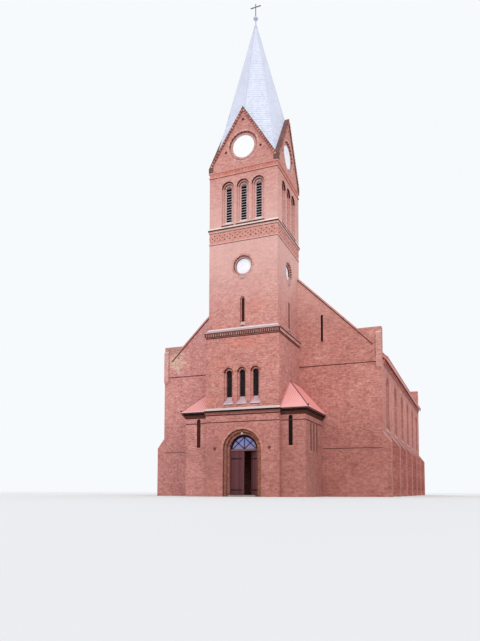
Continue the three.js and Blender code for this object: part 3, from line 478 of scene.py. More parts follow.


# A dark brown for painted shade under courses, in recesses, soffits and reveals; the annexes' hip rolls take
# it as their own colour.
dark_brown_painted_shade = mottled("dark_brown_and_painted_shade", (0.05, 0.022, 0.019), (0.10, 0.043, 0.037), (0.035, 0.02, 0.02), 4.0, gloss=0.05)
# Near-black painted shade: deep shadow under cornices and eaves, the dark room behind the louvres, the slits
# right of the door, and the ring round the fanlight, which is partly the frame's black paint.
shade_black = mottled("black_painted_shade", (0.008, 0.006, 0.006), (0.018, 0.013, 0.013), (0.008, 0.006, 0.006), 4.0,
                      0.9, gloss=0.02)
slit_shadow = mottled("slit_shadow", (0.032, 0.01, 0.008), (0.078, 0.022, 0.017), (0.02, 0.01, 0.01), 4.0,
                      gloss=0.05)
maroon_shadow = mottled("maroon_shadow", (0.085, 0.016, 0.013), (0.155, 0.036, 0.03),
                        (0.05, 0.015, 0.012), 4.0, gloss=0.1)
# A dark red for painted shade in the crescents and slit recesses of the shaft.
painted_red_shade = mottled("red_painted_shade", (0.15, 0.05, 0.04), (0.27, 0.09, 0.07), (0.09, 0.04, 0.035), 4.0)
# The copings' dark brown is partly the brick's own tone and partly painted shade between the dentils.
coping = mottled("coping_brick", (0.10, 0.045, 0.04), (0.19, 0.085, 0.075), (0.3, 0.16, 0.14), 2.5)
sill_stone = mottled("sill_stone", (0.40, 0.26, 0.28), (0.56, 0.39, 0.42), (0.26, 0.17, 0.18), 3.0)
floor_stone = mottled("floor_stone", (0.26, 0.23, 0.21), (0.40, 0.36, 0.32), (0.18, 0.15, 0.14), 2.0)
worn_step = mottled("worn_step", (0.20, 0.16, 0.15), (0.34, 0.28, 0.26), (0.14, 0.10, 0.10), 6.0)
pale_lip = mottled("washed_lip", (0.58, 0.50, 0.52), (0.78, 0.70, 0.72), (0.44, 0.34, 0.35), 3.0)
washed_lime = mottled("washed_lime", (0.64, 0.55, 0.49), (0.84, 0.74, 0.67), (0.40, 0.34, 0.30), 3.0)
plaster = mottled("limewash", (0.78, 0.78, 0.84), (0.90, 0.90, 0.95), (0.62, 0.60, 0.62), 2.0, 0.9,
                  depth=0.006, dirty=0.3)
opal = mottled("opal_glass", (0.42, 0.40, 0.35), (0.58, 0.55, 0.49), (0.3, 0.28, 0.24), 12.0, 0.35)
black_iron = mottled("black_iron", (0.009, 0.007, 0.008), (0.02, 0.016, 0.017), (0.02, 0.01, 0.008), 9.0,
                     gloss=0.04)
iron = mottled("forged_iron", (0.03, 0.027, 0.026), (0.07, 0.06, 0.055), (0.13, 0.06, 0.035), 9.0, 0.55, 0.7)
dull_iron = mottled("dull_iron", (0.13, 0.12, 0.14), (0.23, 0.22, 0.25), (0.1, 0.07, 0.06), 9.0, 0.6, 0.4)
zinc = mottled("pale_zinc", (0.40, 0.43, 0.58), (0.55, 0.58, 0.74), (0.3, 0.32, 0.42), 6.0, 0.5, 0.3)
seam_lead = mottled("seam_lead", (0.44, 0.46, 0.56), (0.60, 0.62, 0.74), (0.3, 0.3, 0.36), 2.0, 0.6)
oxide_paint = mottled("oxide_paint", (0.13, 0.035, 0.03), (0.21, 0.055, 0.05), (0.08, 0.03, 0.03), 8.0)
mortar_fillet = mottled("mortar_fillet", (0.42, 0.14, 0.13), (0.56, 0.22, 0.2), (0.3, 0.1, 0.1), 3.0)
fascia_paint = mottled("fascia_board", (0.52, 0.26, 0.25), (0.68, 0.38, 0.36), (0.34, 0.17, 0.16), 3.0)
# The left fascia is a lighter copy of the fascia paint: painted light.
bright_fascia = mottled("bright_fascia", (0.76, 0.46, 0.44), (0.88, 0.58, 0.55), (0.5, 0.28, 0.26), 3.0)
print("mottled finishes ready")

# %% [markdown]
# Wood makes the stained door boards, with a lighter copy for the leaf that stands ajar as painted light,
# the transom, the louvre slats, whose pale grey is partly silver-grey wood and partly painted light on
# their front edges, the dark boards over them, darkened as painted shade, and bare floor boards. Noise
# that is stretched along the board gives the grain. Every board is an island and gets its own tone.


# %% Wood
def boards(name, dark, light, grain_axis, rough=0.8):
    finish = Finish(name, Specular_IOR_Level=0.3)
    where = finish.place()
    stretch = [14.0, 14.0, 14.0]
    stretch[grain_axis] = 0.9
    grain = finish.noise(finish.vector("MULTIPLY", where, stretch), 1.0, 5.0, 0.65)
    value = grain * 0.8 + finish.random_piece() * 0.5 - 0.1
    color = finish.ramp(value, {0.1: dark, 0.9: light})
    wear = finish.step(finish.noise(where, 2.2, 4.0), 0.55, 0.75)
    color = finish.mix(wear * 0.25, color, light)
    return finish.done(color, rough - 0.12 + grain * 0.3, grain, 0.003, 0.5)


door_wood = boards("door_boards", (0.045, 0.012, 0.014), (0.125, 0.034, 0.038), 2, 0.65)
# A lighter copy of the door boards for the leaf that stands ajar: painted light against the shade on it.
leaf_wood = boards("sunlit_boards", (0.07, 0.023, 0.025), (0.195, 0.064, 0.068), 2, 0.65)
transom_wood = boards("transom_paint", (0.11, 0.045, 0.058), (0.21, 0.095, 0.12), 0, 0.65)
# The slats' pale grey is partly silver-grey wood and partly painted light on their front edges.
louvre_wood = boards("louvre_slats", (0.70, 0.63, 0.66), (0.90, 0.83, 0.86), 0)
# The dark head boards are painted shade under the arches.
head_wood = boards("louvre_heads", (0.10, 0.055, 0.065), (0.26, 0.16, 0.19), 0)
floor_wood = boards("floor_boards", (0.17, 0.10, 0.06), (0.34, 0.23, 0.15), 1)
print("woods ready")

# %% [markdown]
# The windows hold old leaded glass. Its panes are painted nearly black, as painted shade of the unlit
# rooms behind, with pale glints, and the lead between the panes is a dark net. A Brick Texture without
# offset draws the net, and its grey value gives each pane its own tone. The fanlight's blue is a painted
# reflection of the sky, turning greyer towards its foot.

# %% Leaded glass
PANE_WIDTH, PANE_HEIGHT = 0.14, 0.19
# The near-black panes are painted shade of the unlit rooms behind.
GLASS_STOPS = {0.0: (0.006, 0.004, 0.004), 0.6: (0.018, 0.012, 0.012), 1.0: (0.06, 0.045, 0.045)}
# The fanlight's blue is a painted reflection of the sky, greyer towards its foot.
FANLIGHT_STOPS = {0.0: (0.15, 0.16, 0.38), 1.0: (0.30, 0.31, 0.62)}
NET_TONE, FOOT_GREY_TONE, GREYING_TOP, GREYING_FOOT = (0.03, 0.03, 0.035), (0.27, 0.21, 0.26), 3.38, 3.08


def leaded_glass(name, stops, pane, net, gloss, greyed_at_foot=False):
    finish = Finish(name, Specular_IOR_Level=gloss)
    where = finish.place()
    along, z, _ = finish.on_wall(where)
    grey, lead_net = finish.courses(along, z, *pane, 0.006, offset=0.0)
    cloud = finish.noise(where, 1.4, 3.0)
    color = finish.ramp(grey * 0.5 + cloud * 0.6 - 0.05, stops)
    color = finish.mix(lead_net * net, color, NET_TONE)
    if greyed_at_foot:
        color = finish.mix(finish.step(z, GREYING_TOP, GREYING_FOOT) * 0.7, color, FOOT_GREY_TONE)
    return finish.done(color, 0.26 + lead_net * 0.4 + cloud * 0.12, cloud * 0.6 + lead_net, 0.003, 0.5)


window_glass = leaded_glass("leaded_glass", GLASS_STOPS, (PANE_WIDTH, PANE_HEIGHT), 0.9, 0.05)
fanlight_pane = leaded_glass("fanlight_pane", FANLIGHT_STOPS, (0.9, 0.9), 0.0, 0.14, True)
print("glass ready")

# %% [markdown]
# The frame's solids keep their shape where it is right, and only get their finish here. Assigning to
# the material slots leaves the mesh untouched.

# %% Dress the frame
FINISH_OF_SLOT = {
    "brick": wall_brick, "roof_tile": nave_tile, "slate": spire_shingle, "stone": floor_stone,
    "plaster": plaster, "timber": floor_wood, "door_oak": door_wood, "louvre_wood": louvre_wood,
    "glass": window_glass, "iron": iron,
}
FINISH_OF_NODE = {
    "fanlight_glass": fanlight_pane, "gable_copings": coping, "doorstep": worn_step,
    "annex_left_roof": annex_tile, "annex_right_roof": annex_tile, "lower_cornice": lower_cornice_brick,
    "upper_cornice": upper_cornice_brick, "annex_left_front_wall": annex_left_brick,
    "annex_left_side_wall": annex_left_brick, "annex_right_front_wall": annex_right_brick,
    "annex_right_side_wall": annex_right_brick, "nave_west_left_wall": nave_left_brick,
    "nave_west_right_wall": nave_right_brick, "spire_ball": zinc, "cross": dull_iron,
    "door_leaf_right": leaf_wood,
}

for subpart in frame["record"]["subparts"]:
    node = subpart["node"]
    for material_slot in nodes[node].material_slots:
        material_slot.material = FINISH_OF_NODE.get(node, FINISH_OF_SLOT[subpart["material_slot"]])
print("dressed", len(nodes), "nodes")

# %% [markdown]
# Pieces are built flat, as seen by someone in front of a wall: x runs to the right, z up, and the
# second number is the depth into the wall, so that a proud piece has a negative depth. A matrix for
# each wall then carries them to their place. `Shape` collects blocks in one mesh, `go_round` moves it
# from wall to wall, and `finish_piece` turns it into a named object that rides on a body of the frame.

# %% Building by walls
SKIN, SKIN_START, HALF_BRICK = 0.004, 0.003, 0.125
# How far bricks stand out of the plane behind them, and how far thin and thick pieces reach into it
PROUD, SUNK, BEDDED = 0.006, 0.01, 0.02
ALL_TURNS, SEEN_TURNS = (0, 90, 180, 270), (0, 90, 270)


def wall_frame(reach, turn):
    """The matrix of a wall whose face lies at this distance from the tower's axis."""
    place = Matrix.Translation((0, axis_y, 0))
    return place @ Matrix.Rotation(math.radians(turn), 4, "Z") @ Matrix.Translation((0, -reach, 0))


def on_circle(centre, radius, angle):
    return centre[0] + radius * math.cos(angle), centre[1] + radius * math.sin(angle)


class Shape:
    """A mesh that grows by blocks, in the frame of one wall after another."""

    def __init__(self, wall=None):
        self.wall = wall or Matrix.Identity(4)
        self.points = []
        self.faces = []

    def add(self, *points):
        """Adds points in wall coordinates, and gives the number of the first."""
        start = len(self.points)
        self.points += [self.wall @ Vector(point) for point in points]
        return start

    def prism(self, front, back):
        """A solid between two outlines with the same number of points, given in wall coordinates."""
        start, count = self.add(*front, *back), len(front)
        near, far = range(start, start + count), range(start + count, start + 2 * count)
        self.faces += [[*near], [*reversed(far)]]
        for index in range(count):
            following = (index + 1) % count
            self.faces.append([near[following], near[index], far[index], far[following]])

    def outline(self, flat, near, far):
        """An upright prism between two depths: flat is the outline in x and z, run either way round."""
        area = sum(a[0] * b[1] - b[0] * a[1] for a, b in zip(flat, [*flat[1:], flat[0]]))
        flat = flat if area > 0 else flat[::-1]
        self.prism([(x, near, z) for x, z in flat], [(x, far, z) for x, z in flat])

    def block(self, left, right, near, far, bottom, top):
        self.outline([(left, bottom), (right, bottom), (right, top), (left, top)], near, far)

    def pair(self, x, inner, outer, near, far, bottom, top):
        """Two blocks, mirrored to the left and the right of x."""
        for side in (-1, 1):
            ends = sorted((x + side * inner, x + side * outer))
            self.block(*ends, near, far, bottom, top)

    def cover(self, upper, drop, back):
        """A thin sheet under an outline in space, with its lower side moved down and back."""
        self.prism(upper, [(x, y + back, z - drop) for x, y, z in upper])

    def ring(self, centre, inner, outer, near, far, count, start=0.0, end=180.0, joint=0.008):
        """Wedge bricks round a centre. The angles are in degrees, from the right over the top."""
        step = (end - start) / count
        for index in range(count):
            low, high = (math.radians(start + step * (index + side)) for side in (0, 1))
            flat = []
            for radius, first, last in ((outer, low, high), (inner, high, low)):
                trim = math.copysign(joint / 2 / radius, last - first)
                flat += [on_circle(centre, radius, first + trim), on_circle(centre, radius, last - trim)]
            self.outline(flat, near, far)

    def arch(self, centre, inner, width, depth, count, start=0.0, end=180.0):
        """Wedge bricks that stand a little proud of the plane at this depth."""
        self.ring(centre, inner, inner + width, depth - PROUD, depth + BEDDED, count, start, end)

    def shade(self, centre, inner, outer, near, far, start=0.0, end=180.0):
        """A ring without joints, round enough for its size."""
        self.ring(centre, inner, outer, near, far, max(16, int(outer * 60)), start, end, 0.0)

    def soffit(self, centre, radius, near, far, start=0.0, end=180.0):
        """A thin skin on the inner side of an arch or a round niche."""
        self.shade(centre, radius - SKIN, radius + SKIN, near + SKIN_START, far, start, end)

    def lining(self, x, half, sill, crown, near, far):
        """A thin skin on the sides and the head of an arched recess."""
        self.pair(x, half - SKIN, half + SKIN, near + SKIN_START, far, sill, crown - half)
        self.soffit((x, crown - half), half, near, far)

    def arched_plate(self, x, half, sill, crown, near, far):
        head = [on_circle((x, crown - half), half, math.radians(15 * index)) for index in range(13)]
        self.outline([(x - half, sill), (x + half, sill), *head], near, far)

    def disc(self, centre, radius, near, far, count):
        angles = [math.tau * index / count for index in range(count)]
        self.outline([on_circle(centre, radius, angle) for angle in angles], near, far)


def new_shapes(count, wall=None):
    return [Shape(wall) for _ in range(count)]


def set_walls(shapes, wall):
    for shape in shapes:
        shape.wall = wall


def go_round(turns, reach, *shapes):
    """Moves the shapes to one wall after another, and gives the turn of each wall."""
    for turn in turns:
        set_walls(shapes, wall_frame(reach, turn))
        yield turn


def make_object(shape, name, material):
    mesh = bpy.data.meshes.new(name)
    mesh.from_pydata([tuple(point) for point in shape.points], [], shape.faces)
    mesh.materials.append(material)
    mesh.validate()
    made = bpy.data.objects.new(name, mesh)
    scene.collection.objects.link(made)
    return made


def finish_piece(shape, name, material, body="building", smooth=False):
    made = make_object(shape, name, material)
    if smooth:
        made.data.shade_smooth()
    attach(made, body)
    print(f"{name}: {len(made.data.polygons)} faces")
    return made


front_wall = wall_frame(tower_half, 0)

# %% [markdown]
# The portal steps back in three orders, and each order carries a ring of wedge bricks. The rings stand
# 6 mm proud of the plane behind them, so that their joints catch the light as the real ones do. The two
# inner orders go on below as jambs of flat bricks, beside a strip of painted shade, and painted shade
# lines the undersides of the rings and dark bands beside each inner ring.

# %% Portal arches
PORTAL_SPRINGING, PORTAL_BACK, PORTAL_FOOT = 2.95, 0.46, 0.01
ORDER_DEPTH, SHADE_EDGE, JAMB_COURSES, BED_JOINT = 0.15, 0.162, 39, 0.004
# Inner radius, width, depth of the face, number of bricks, finish
PORTAL_RINGS = (
    (1.295, HALF_BRICK, 0.0, 57, light_red_brick), (1.13, 0.11, 0.15, 49, brown_brick),
    (0.965, 0.115, 0.3, 42, ochre_brick),
)
FANLIGHT_RIM, SHADE_PROUD = (0.824, 0.962), 0.008
arch_centre = (0, PORTAL_SPRINGING)

# Painted shade: the undersides of the rings, dark bands beside each inner ring, and strips beside the jambs.
shades = Shape(front_wall)
for inner, width, depth, count, finish in PORTAL_RINGS:
    shape = Shape(front_wall)
    shape.arch(arch_centre, inner, width, depth, count)
    shades.soffit(arch_centre, inner, depth, depth + ORDER_DEPTH)
    if depth:
        outer, edge = inner + width, inner + SHADE_EDGE
        shades.shade(arch_centre, outer, edge, depth - SKIN, depth + BEDDED)
        shades.pair(0, outer, edge, depth - SKIN, depth + BEDDED, PORTAL_FOOT, PORTAL_SPRINGING)
        for side in (-1, 1):
            ends = sorted((side * inner, side * outer))
            for course in range(JAMB_COURSES):
                low = PORTAL_FOOT + course * COURSE + BED_JOINT
                shape.block(*ends, depth - PROUD, depth + BEDDED, low, low + COURSE - 2 * BED_JOINT)
    finish_piece(shape, f"portal_ring_{round(inner * 1000)}", finish)
finish_piece(shades, "portal_shades", dark_brown_painted_shade)

# A black ring round the fanlight: partly the frame's black paint, partly painted shade under the innermost
# order.
shape = Shape(front_wall)
shape.shade(arch_centre, *FANLIGHT_RIM, PORTAL_BACK - SHADE_PROUD, PORTAL_BACK + SUNK)
finish_piece(shape, "fanlight_rim", shade_black)

# %% [markdown]
# The fanlight over the door is divided by slim dark bars: one upright, and two slanting pairs that
# cross and run on to the rim. Each bar is a block between two points, made by a small helper for
# slanting strips. A painted board covers the transom below.

# %% Fanlight bars
BAR_HALF, GLASS_FRONT = 0.024, 0.505
FAN_FOOT, FAN_TOP, FAN_LOW, FAN_HIGH = 3.01, 3.77, (0.785, 3.03), (0.565, 3.53)
TRANSOM_HALF, TRANSOM_FOOT = 0.915, 2.9


def strip(shape, first, second, half, near, far):
    """A straight bar in the plane of the wall, between two points given in x and z."""
    (x1, z1), (x2, z2) = first, second
    way = Vector((x2 - x1, z2 - z1)).normalized() * half
    flat = [(x1 + way.y, z1 - way.x), (x2 + way.y, z2 - way.x), (x2 - way.y, z2 + way.x),
            (x1 - way.y, z1 + way.x)]
    shape.outline(flat, near, far)


shape = Shape(front_wall)
near, far = GLASS_FRONT - 0.02, GLASS_FRONT - 0.001
strip(shape, (0, FAN_FOOT), (0, FAN_TOP), BAR_HALF, near, far)
for side in (-1, 1):
    strip(shape, (side * FAN_LOW[0], FAN_LOW[1]), (0, FAN_TOP - 0.01), BAR_HALF, near - 0.002, far)
    strip(shape, (0, FAN_FOOT + 0.01), (side * FAN_HIGH[0], FAN_HIGH[1]), BAR_HALF, near - 0.004, far)
finish_piece(shape, "fanlight_bars", black_iron)

shape = Shape(front_wall)
shape.block(-TRANSOM_HALF, TRANSOM_HALF, PORTAL_BACK - 0.012, PORTAL_BACK + 0.005, TRANSOM_FOOT,
            FAN_FOOT - 0.008)
finish_piece(shape, "transom_board", transom_wood)

# %% [markdown]
# Each door leaf is clad with upright boards and held by two long strap hinges. The boards stand on the
# outer face of the leaf. The left leaf is shut and the right one stands ajar, so the right one is built
# as if it was shut and turned about its hinge. All pieces ride on their leaf.

# %% Door leaves
leaf_low, leaf_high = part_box("door_leaf_left")
LEAF_FACE = leaf_low.y - front_y
HINGE_FROM_AXIS, HINGE_DEPTH, AJAR = 0.895, 0.559, 45
BOARD_COUNT, BOARD_PROUD, BOARD_GAP, LEAF_MARGIN, STRAP_ROOT = 7, 0.009, 0.004, 0.004, 0.02
STRAP_LEVELS, STRAP_RIVETS, RIVET_RADIUS = (0.42, 2.4), (0.08, 0.3, 0.52), 0.012
STRAP_LENGTH, STRAP_HALF, STRAP_PROUD, STRAP_NECK, STRAP_POINT = 0.78, 0.042, 0.008, 0.55, 0.09

hinge = Vector((HINGE_FROM_AXIS, front_y + HINGE_DEPTH, 0))
swing = Matrix.Translation(hinge) @ Matrix.Rotation(math.radians(-AJAR), 4, "Z") @ Matrix.Translation(-hinge)
# The right leaf gets the lighter copy of the boards, painted light against the shade on the leaf that stands
# ajar.
LEAVES = (("left", -1, front_wall, door_wood), ("right", 1, swing @ front_wall, leaf_wood))

for label, side, wall, finish in LEAVES:
    shape = Shape(wall)
    low, high = sorted((side * (-leaf_low.x - LEAF_MARGIN), side * (-leaf_high.x + LEAF_MARGIN)))
    pitch = (high - low) / BOARD_COUNT
    for index in range(BOARD_COUNT):
        left = low + pitch * index
        shape.block(left + BOARD_GAP / 2, left + pitch - BOARD_GAP / 2, LEAF_FACE - BOARD_PROUD,
                    LEAF_FACE + 0.002, leaf_low.z + 0.01, leaf_high.z - 0.006)
    finish_piece(shape, f"door_boards_{label}", finish, f"{label}_leaf")

    shape = Shape(wall)
    near, far = LEAF_FACE - BOARD_PROUD - STRAP_PROUD, LEAF_FACE - BOARD_PROUD + 0.001
    for level in STRAP_LEVELS:
        root = side * (-leaf_low.x - STRAP_ROOT)
        tip = side * (-leaf_low.x - STRAP_ROOT - STRAP_LENGTH)
        lower = [(root, -1), (tip + side * STRAP_POINT, -STRAP_NECK), (tip + side * STRAP_POINT, -1)]
        upper = [(x, -share) for x, share in lower[:0:-1]]
        flat = [*lower, (tip, 0), *upper, (root, 1)]
        shape.outline([(x, level + STRAP_HALF * share) for x, share in flat], near, far)
        for part in STRAP_RIVETS:
            shape.disc((root - side * part, level), RIVET_RADIUS, near - 0.004, near + 0.001, 10)
    finish_piece(shape, f"door_straps_{label}", black_iron, f"{label}_leaf")

# %% [markdown]
# Over the door a white globe lamp hangs from the crown of the outer arch. The globe is a turned
# profile: a list of radii and heights that is swept round an upright axis. Beside the portal sit two
# painted socket plates.

# %% Globe lamp and socket plates
GLOBE_RADIUS, GLOBE_DEPTH, GLOBE_HEIGHT, GLOBE_STEPS = 0.07, 0.08, 3.97, 16
CROWN_HEIGHT = PORTAL_SPRINGING + PORTAL_RINGS[0][0]
SOCKET_FROM_AXIS, SOCKET_HEIGHT, SOCKET_HALF, SOCKET_PROUD = 1.84, 3.04, 0.085, 0.025
HOLDER_HALF, HOLDER_REACH = 0.03, 0.07


def turned(shape, centre, profile, count=24):
    """Sweeps (radius, height) pairs round an upright axis through the centre, given in x and depth."""
    angles = [math.tau * index / count for index in range(count)]
    start = shape.add(*((*on_circle(centre, radius, angle), height) for radius, height in profile
                        for angle in angles))
    for row in range(len(profile) - 1):
        for index in range(count):
            here, there = start + row * count + index, start + row * count + (index + 1) % count
            shape.faces.append([here, there, there + count, here + count])
    last = start + (len(profile) - 1) * count
    shape.faces += [[*reversed(range(start, start + count))], [*range(last, last + count)]]


shape = Shape(front_wall)
angles = [math.pi * step / GLOBE_STEPS for step in range(1, GLOBE_STEPS)]
turned(shape, (0, GLOBE_DEPTH), [
    (GLOBE_RADIUS * math.sin(angle), GLOBE_HEIGHT - GLOBE_RADIUS * math.cos(angle)) for angle in angles])
finish_piece(shape, "globe_lamp", opal, smooth=True)

shape = Shape(front_wall)
neck_foot = GLOBE_HEIGHT + GLOBE_RADIUS - 0.012
turned(shape, (0, GLOBE_DEPTH), [
    (0.045, neck_foot), (0.045, neck_foot + 0.03), (0.014, neck_foot + 0.04), (0.014, CROWN_HEIGHT - 0.012),
    (0.035, CROWN_HEIGHT - 0.01), (0.035, CROWN_HEIGHT + 0.004)])
finish_piece(shape, "lamp_stem", iron)

shape = Shape(front_wall)
for x in (-SOCKET_FROM_AXIS, SOCKET_FROM_AXIS):
    shape.block(x - SOCKET_HALF, x + SOCKET_HALF, -SOCKET_PROUD, SUNK, SOCKET_HEIGHT - SOCKET_HALF,
                SOCKET_HEIGHT + SOCKET_HALF)
    shape.block(x - HOLDER_HALF, x + HOLDER_HALF, -HOLDER_REACH, 0.001 - SOCKET_PROUD,
                SOCKET_HEIGHT - 0.05, SOCKET_HEIGHT + 0.04)
finish_piece(shape, "socket_plates", oxide_paint)

# %% [markdown]
# The gallery has three slim arched windows, each in a shallow recess. Rings of wedge bricks follow the
# recess and the light inside it, and painted shade darkens the undersides of both, a band under each
# recess's arch and a strip under each sill. The sill is a stone that slopes steeply from the glass to
# the wall's face, so it is cast in two parts: a wide one in the recess, a narrow one inside the light.

# %% Gallery arches and sills
GALLERY_PITCH, GALLERY_SILL = 0.905, 5.85
RECESS_HALF, RECESS_CROWN, RECESS_DEPTH = 0.315, 8.19, 0.12
LIGHT_HALF, LIGHT_CROWN, LIGHT_SILL, LIGHT_DEPTH = 0.195, 8.05, 6.33, 0.25
SILL_LIP, SILL_REACH, SILL_COVER, SILL_BODY = 0.035, 0.03, 0.006, 0.06
ARCH_SHADOW, SILL_SHADOW, LIGHT_RING = 0.045, 0.06, 0.11


def sloping_stone(shape, x, half, front, back):
    """A stone between two edges, each given as depth and height, with 6 cm of body under them."""
    shape.prism(*([(x - half, depth, height - SILL_BODY), (x + half, depth, height - SILL_BODY),
                   (x + half, depth, height), (x - half, depth, height)] for depth, height in (front, back)))


arches, sills, lips, shades = new_shapes(4, front_wall)
for index in (-1, 0, 1):
    x = index * GALLERY_PITCH
    centre = (x, RECESS_CROWN - RECESS_HALF)
    arches.arch(centre, RECESS_HALF, HALF_BRICK, 0.0, 17)
    # Painted shade on the soffits, under each recess's arch and under the sill.
    shades.soffit(centre, RECESS_HALF, 0.0, RECESS_DEPTH)
    shades.shade(centre, RECESS_HALF - ARCH_SHADOW, RECESS_HALF, RECESS_DEPTH - SHADE_PROUD,
                 RECESS_DEPTH + SUNK)
    shades.block(x - RECESS_HALF, x + RECESS_HALF, -SKIN, SUNK, GALLERY_SILL - SILL_SHADOW, GALLERY_SILL)
    slope = (LIGHT_SILL - GALLERY_SILL) / LIGHT_DEPTH
    step = GALLERY_SILL + slope * RECESS_DEPTH + SILL_COVER
    sloping_stone(sills, x, RECESS_HALF - SKIN, (-SILL_REACH, GALLERY_SILL + SILL_LIP), (RECESS_DEPTH, step))
    lips.block(x - RECESS_HALF - 0.01, x + RECESS_HALF + 0.01, -SILL_REACH - 0.006, 0.0, GALLERY_SILL,
               GALLERY_SILL + SILL_LIP)
    centre = (x, LIGHT_CROWN - LIGHT_HALF)
    arches.arch(centre, LIGHT_HALF, LIGHT_RING, RECESS_DEPTH, 11)
    shades.soffit(centre, LIGHT_HALF, RECESS_DEPTH, LIGHT_DEPTH)
    sloping_stone(sills, x, LIGHT_HALF - SKIN, (RECESS_DEPTH, step), (LIGHT_DEPTH, LIGHT_SILL + SILL_COVER))
finish_piece(arches, "gallery_arch_bricks", arch_brick)
finish_piece(sills, "gallery_sills", sill_stone)
finish_piece(lips, "gallery_sill_lips", pale_lip)
finish_piece(shades, "gallery_shades", dark_brown_painted_shade)

# %% [markdown]
# A frieze of toothed bricks runs under the upper cornice. Each tooth is a brick set at an angle, which
# shows as a small prism with its edge outwards, and a strip of painted shade fills the gaps between the
# teeth.
# Above it, rain has washed the upper part of the cornice's slope: a thin cover, mitred at the front
# corners.

# %% Upper cornice
TEETH_FOOT, TEETH_HEAD, TEETH_FACE, TEETH_TIP = 10.29, 10.45, 0.07, 0.1
TEETH_PITCH, TOOTH_FILL = 0.125, 0.62
# Distance before the tower's face, and height, where the washed cover starts and ends
SLOPE_REACH, SLOPE_SET_BACK, SLOPE_FOOT, SLOPE_TOP = 0.12, 0.13, 10.53, 10.79
WASHED_FROM, COVER = 0.62, 0.006


def flank_ends(turn, near, far):
    """The ends of something on a side of the tower, from its front corner back to the nave."""
    return (near, far) if turn == 90 else (far, near)


shape, strips = new_shapes(2)
corner = tower_half + TEETH_FACE
for turn in go_round(SEEN_TURNS, tower_half, shape, strips):
    left, right = flank_ends(turn, corner, nave_reach) if turn else (corner, corner)
    count = int((left + right) / TEETH_PITCH)
    first = -left + (left + right - count * TEETH_PITCH) / 2
    for index in range(count):
        start = first + (index + (1 - TOOTH_FILL) / 2) * TEETH_PITCH
        end = start + TEETH_PITCH * TOOTH_FILL
        flat = [(end, -TEETH_FACE + 0.012), ((start + end) / 2, -TEETH_TIP), (start, -TEETH_FACE + 0.012)]
        shape.prism([(x, y, TEETH_FOOT) for x, y in flat], [(x, y, TEETH_HEAD) for x, y in flat])
    # Painted shade behind the teeth.
    strips.block(-left, right, -TEETH_FACE - SKIN, -TEETH_FACE + SUNK, TEETH_FOOT + 0.002,
                 TEETH_HEAD - 0.002)
finish_piece(shape, "upper_cornice_teeth", light_brick)
finish_piece(strips, "upper_cornice_gaps", dark_brown_painted_shade)

fillet, flanks = new_shapes(2)
for turn in SEEN_TURNS:
    stone = flanks if turn else fillet
    stone.wall = wall_frame(tower_half, turn)
    upper = []
    for share in (WASHED_FROM, 1.0):
        out = SLOPE_REACH - share * (SLOPE_REACH + SLOPE_SET_BACK)
        level = SLOPE_FOOT + share * (SLOPE_TOP - SLOPE_FOOT) + COVER
        near = tower_half + out
        left, right = flank_ends(turn, near, nave_reach) if turn else (near, near)
        points = [(-left, -out - COVER, level), (right, -out - COVER, level)]
        upper += points[::-1] if upper else points
    stone.cover(upper, 0.012, 0.012)
finish_piece(fillet, "upper_cornice_fillet", pale_lip)
finish_piece(flanks, "upper_cornice_flank_fillets", sill_stone)

# %% [markdown]
# Two patterns in brick circle the shaft. Over the belfry, orange bricks lean to and fro in two rows.
# Under the belfry's sill course lies a band of orange bricks with a net of lozenges: light bricks stand
# a little proud along the slanting lines, course by course, and flat dark patches of painted shade stand
# for hollow headers in the meshes of the net.

# %% Belfry frieze and lozenge band
FRIEZE_FOOT, FRIEZE_HEAD, FRIEZE_PITCH = 21.06, 21.3, 0.23
FRIEZE_LEAN, FRIEZE_HALF, FRIEZE_PROUD = 0.13, 0.034, 0.025
LOZENGE_FOOT, LOZENGE_COURSES, HALF_WAVE = 16.56, 9, 0.18
LOZENGE_HALF, LOZENGE_PROUD, HOLLOW_HALF = 0.04, 0.018, 0.035

shape = Shape()
for _ in go_round(ALL_TURNS, shaft_half, shape):
    count = int((shaft_half * 2 - 0.1) / FRIEZE_PITCH)
    first = -(count - 1) * FRIEZE_PITCH / 2 - FRIEZE_LEAN / 2
    for index in range(count):
        x = first + index * FRIEZE_PITCH
        for level in (FRIEZE_FOOT, FRIEZE_HEAD):
            middle = (x + FRIEZE_LEAN, (FRIEZE_FOOT + FRIEZE_HEAD) / 2)
            strip(shape, (x, level), middle, FRIEZE_HALF, -FRIEZE_PROUD, SUNK)
finish_piece(shape, "belfry_frieze_bricks", orange_brick)

shape, hollows = new_shapes(2)
half_height = LOZENGE_COURSES // 2
for _ in go_round(SEEN_TURNS, shaft_half, shape, hollows):
    waves = int(shaft_half / HALF_WAVE) - 1
    for course in range(LOZENGE_COURSES):
        share = 1 - abs(course - half_height) / half_height
        bottom = LOZENGE_FOOT + course * COURSE
        for wave in range(-waves, waves + 1, 2):
            for side in (-1, 1) if 0 < share < 1 else (1,):
                x = (wave + side * share) * HALF_WAVE
                shape.block(x - LOZENGE_HALF, x + LOZENGE_HALF, -LOZENGE_PROUD, SUNK, bottom + 0.006,
                            bottom + COURSE - 0.006)
        for wave in range(-waves, waves + 1):
            if course in ((2, 6) if (wave + waves) % 2 else (4,)):
                x = wave * HALF_WAVE
                # Painted shade of a hollow header.
                hollows.block(x - HOLLOW_HALF, x + HOLLOW_HALF, -SKIN, SUNK, bottom + BED_JOINT,
                              bottom + COURSE - BED_JOINT)
finish_piece(shape, "lozenge_bricks", light_brick)
finish_piece(hollows, "lozenge_hollows", dark_brown_painted_shade)

# %% [markdown]
# Narrow strips right under the string courses and cornices are painted shade, near-black where the
# shadow is deepest, and from the yard they draw every course as a fine dark line. Each is a thin strip
# on the wall, with its top at the underside of the course.

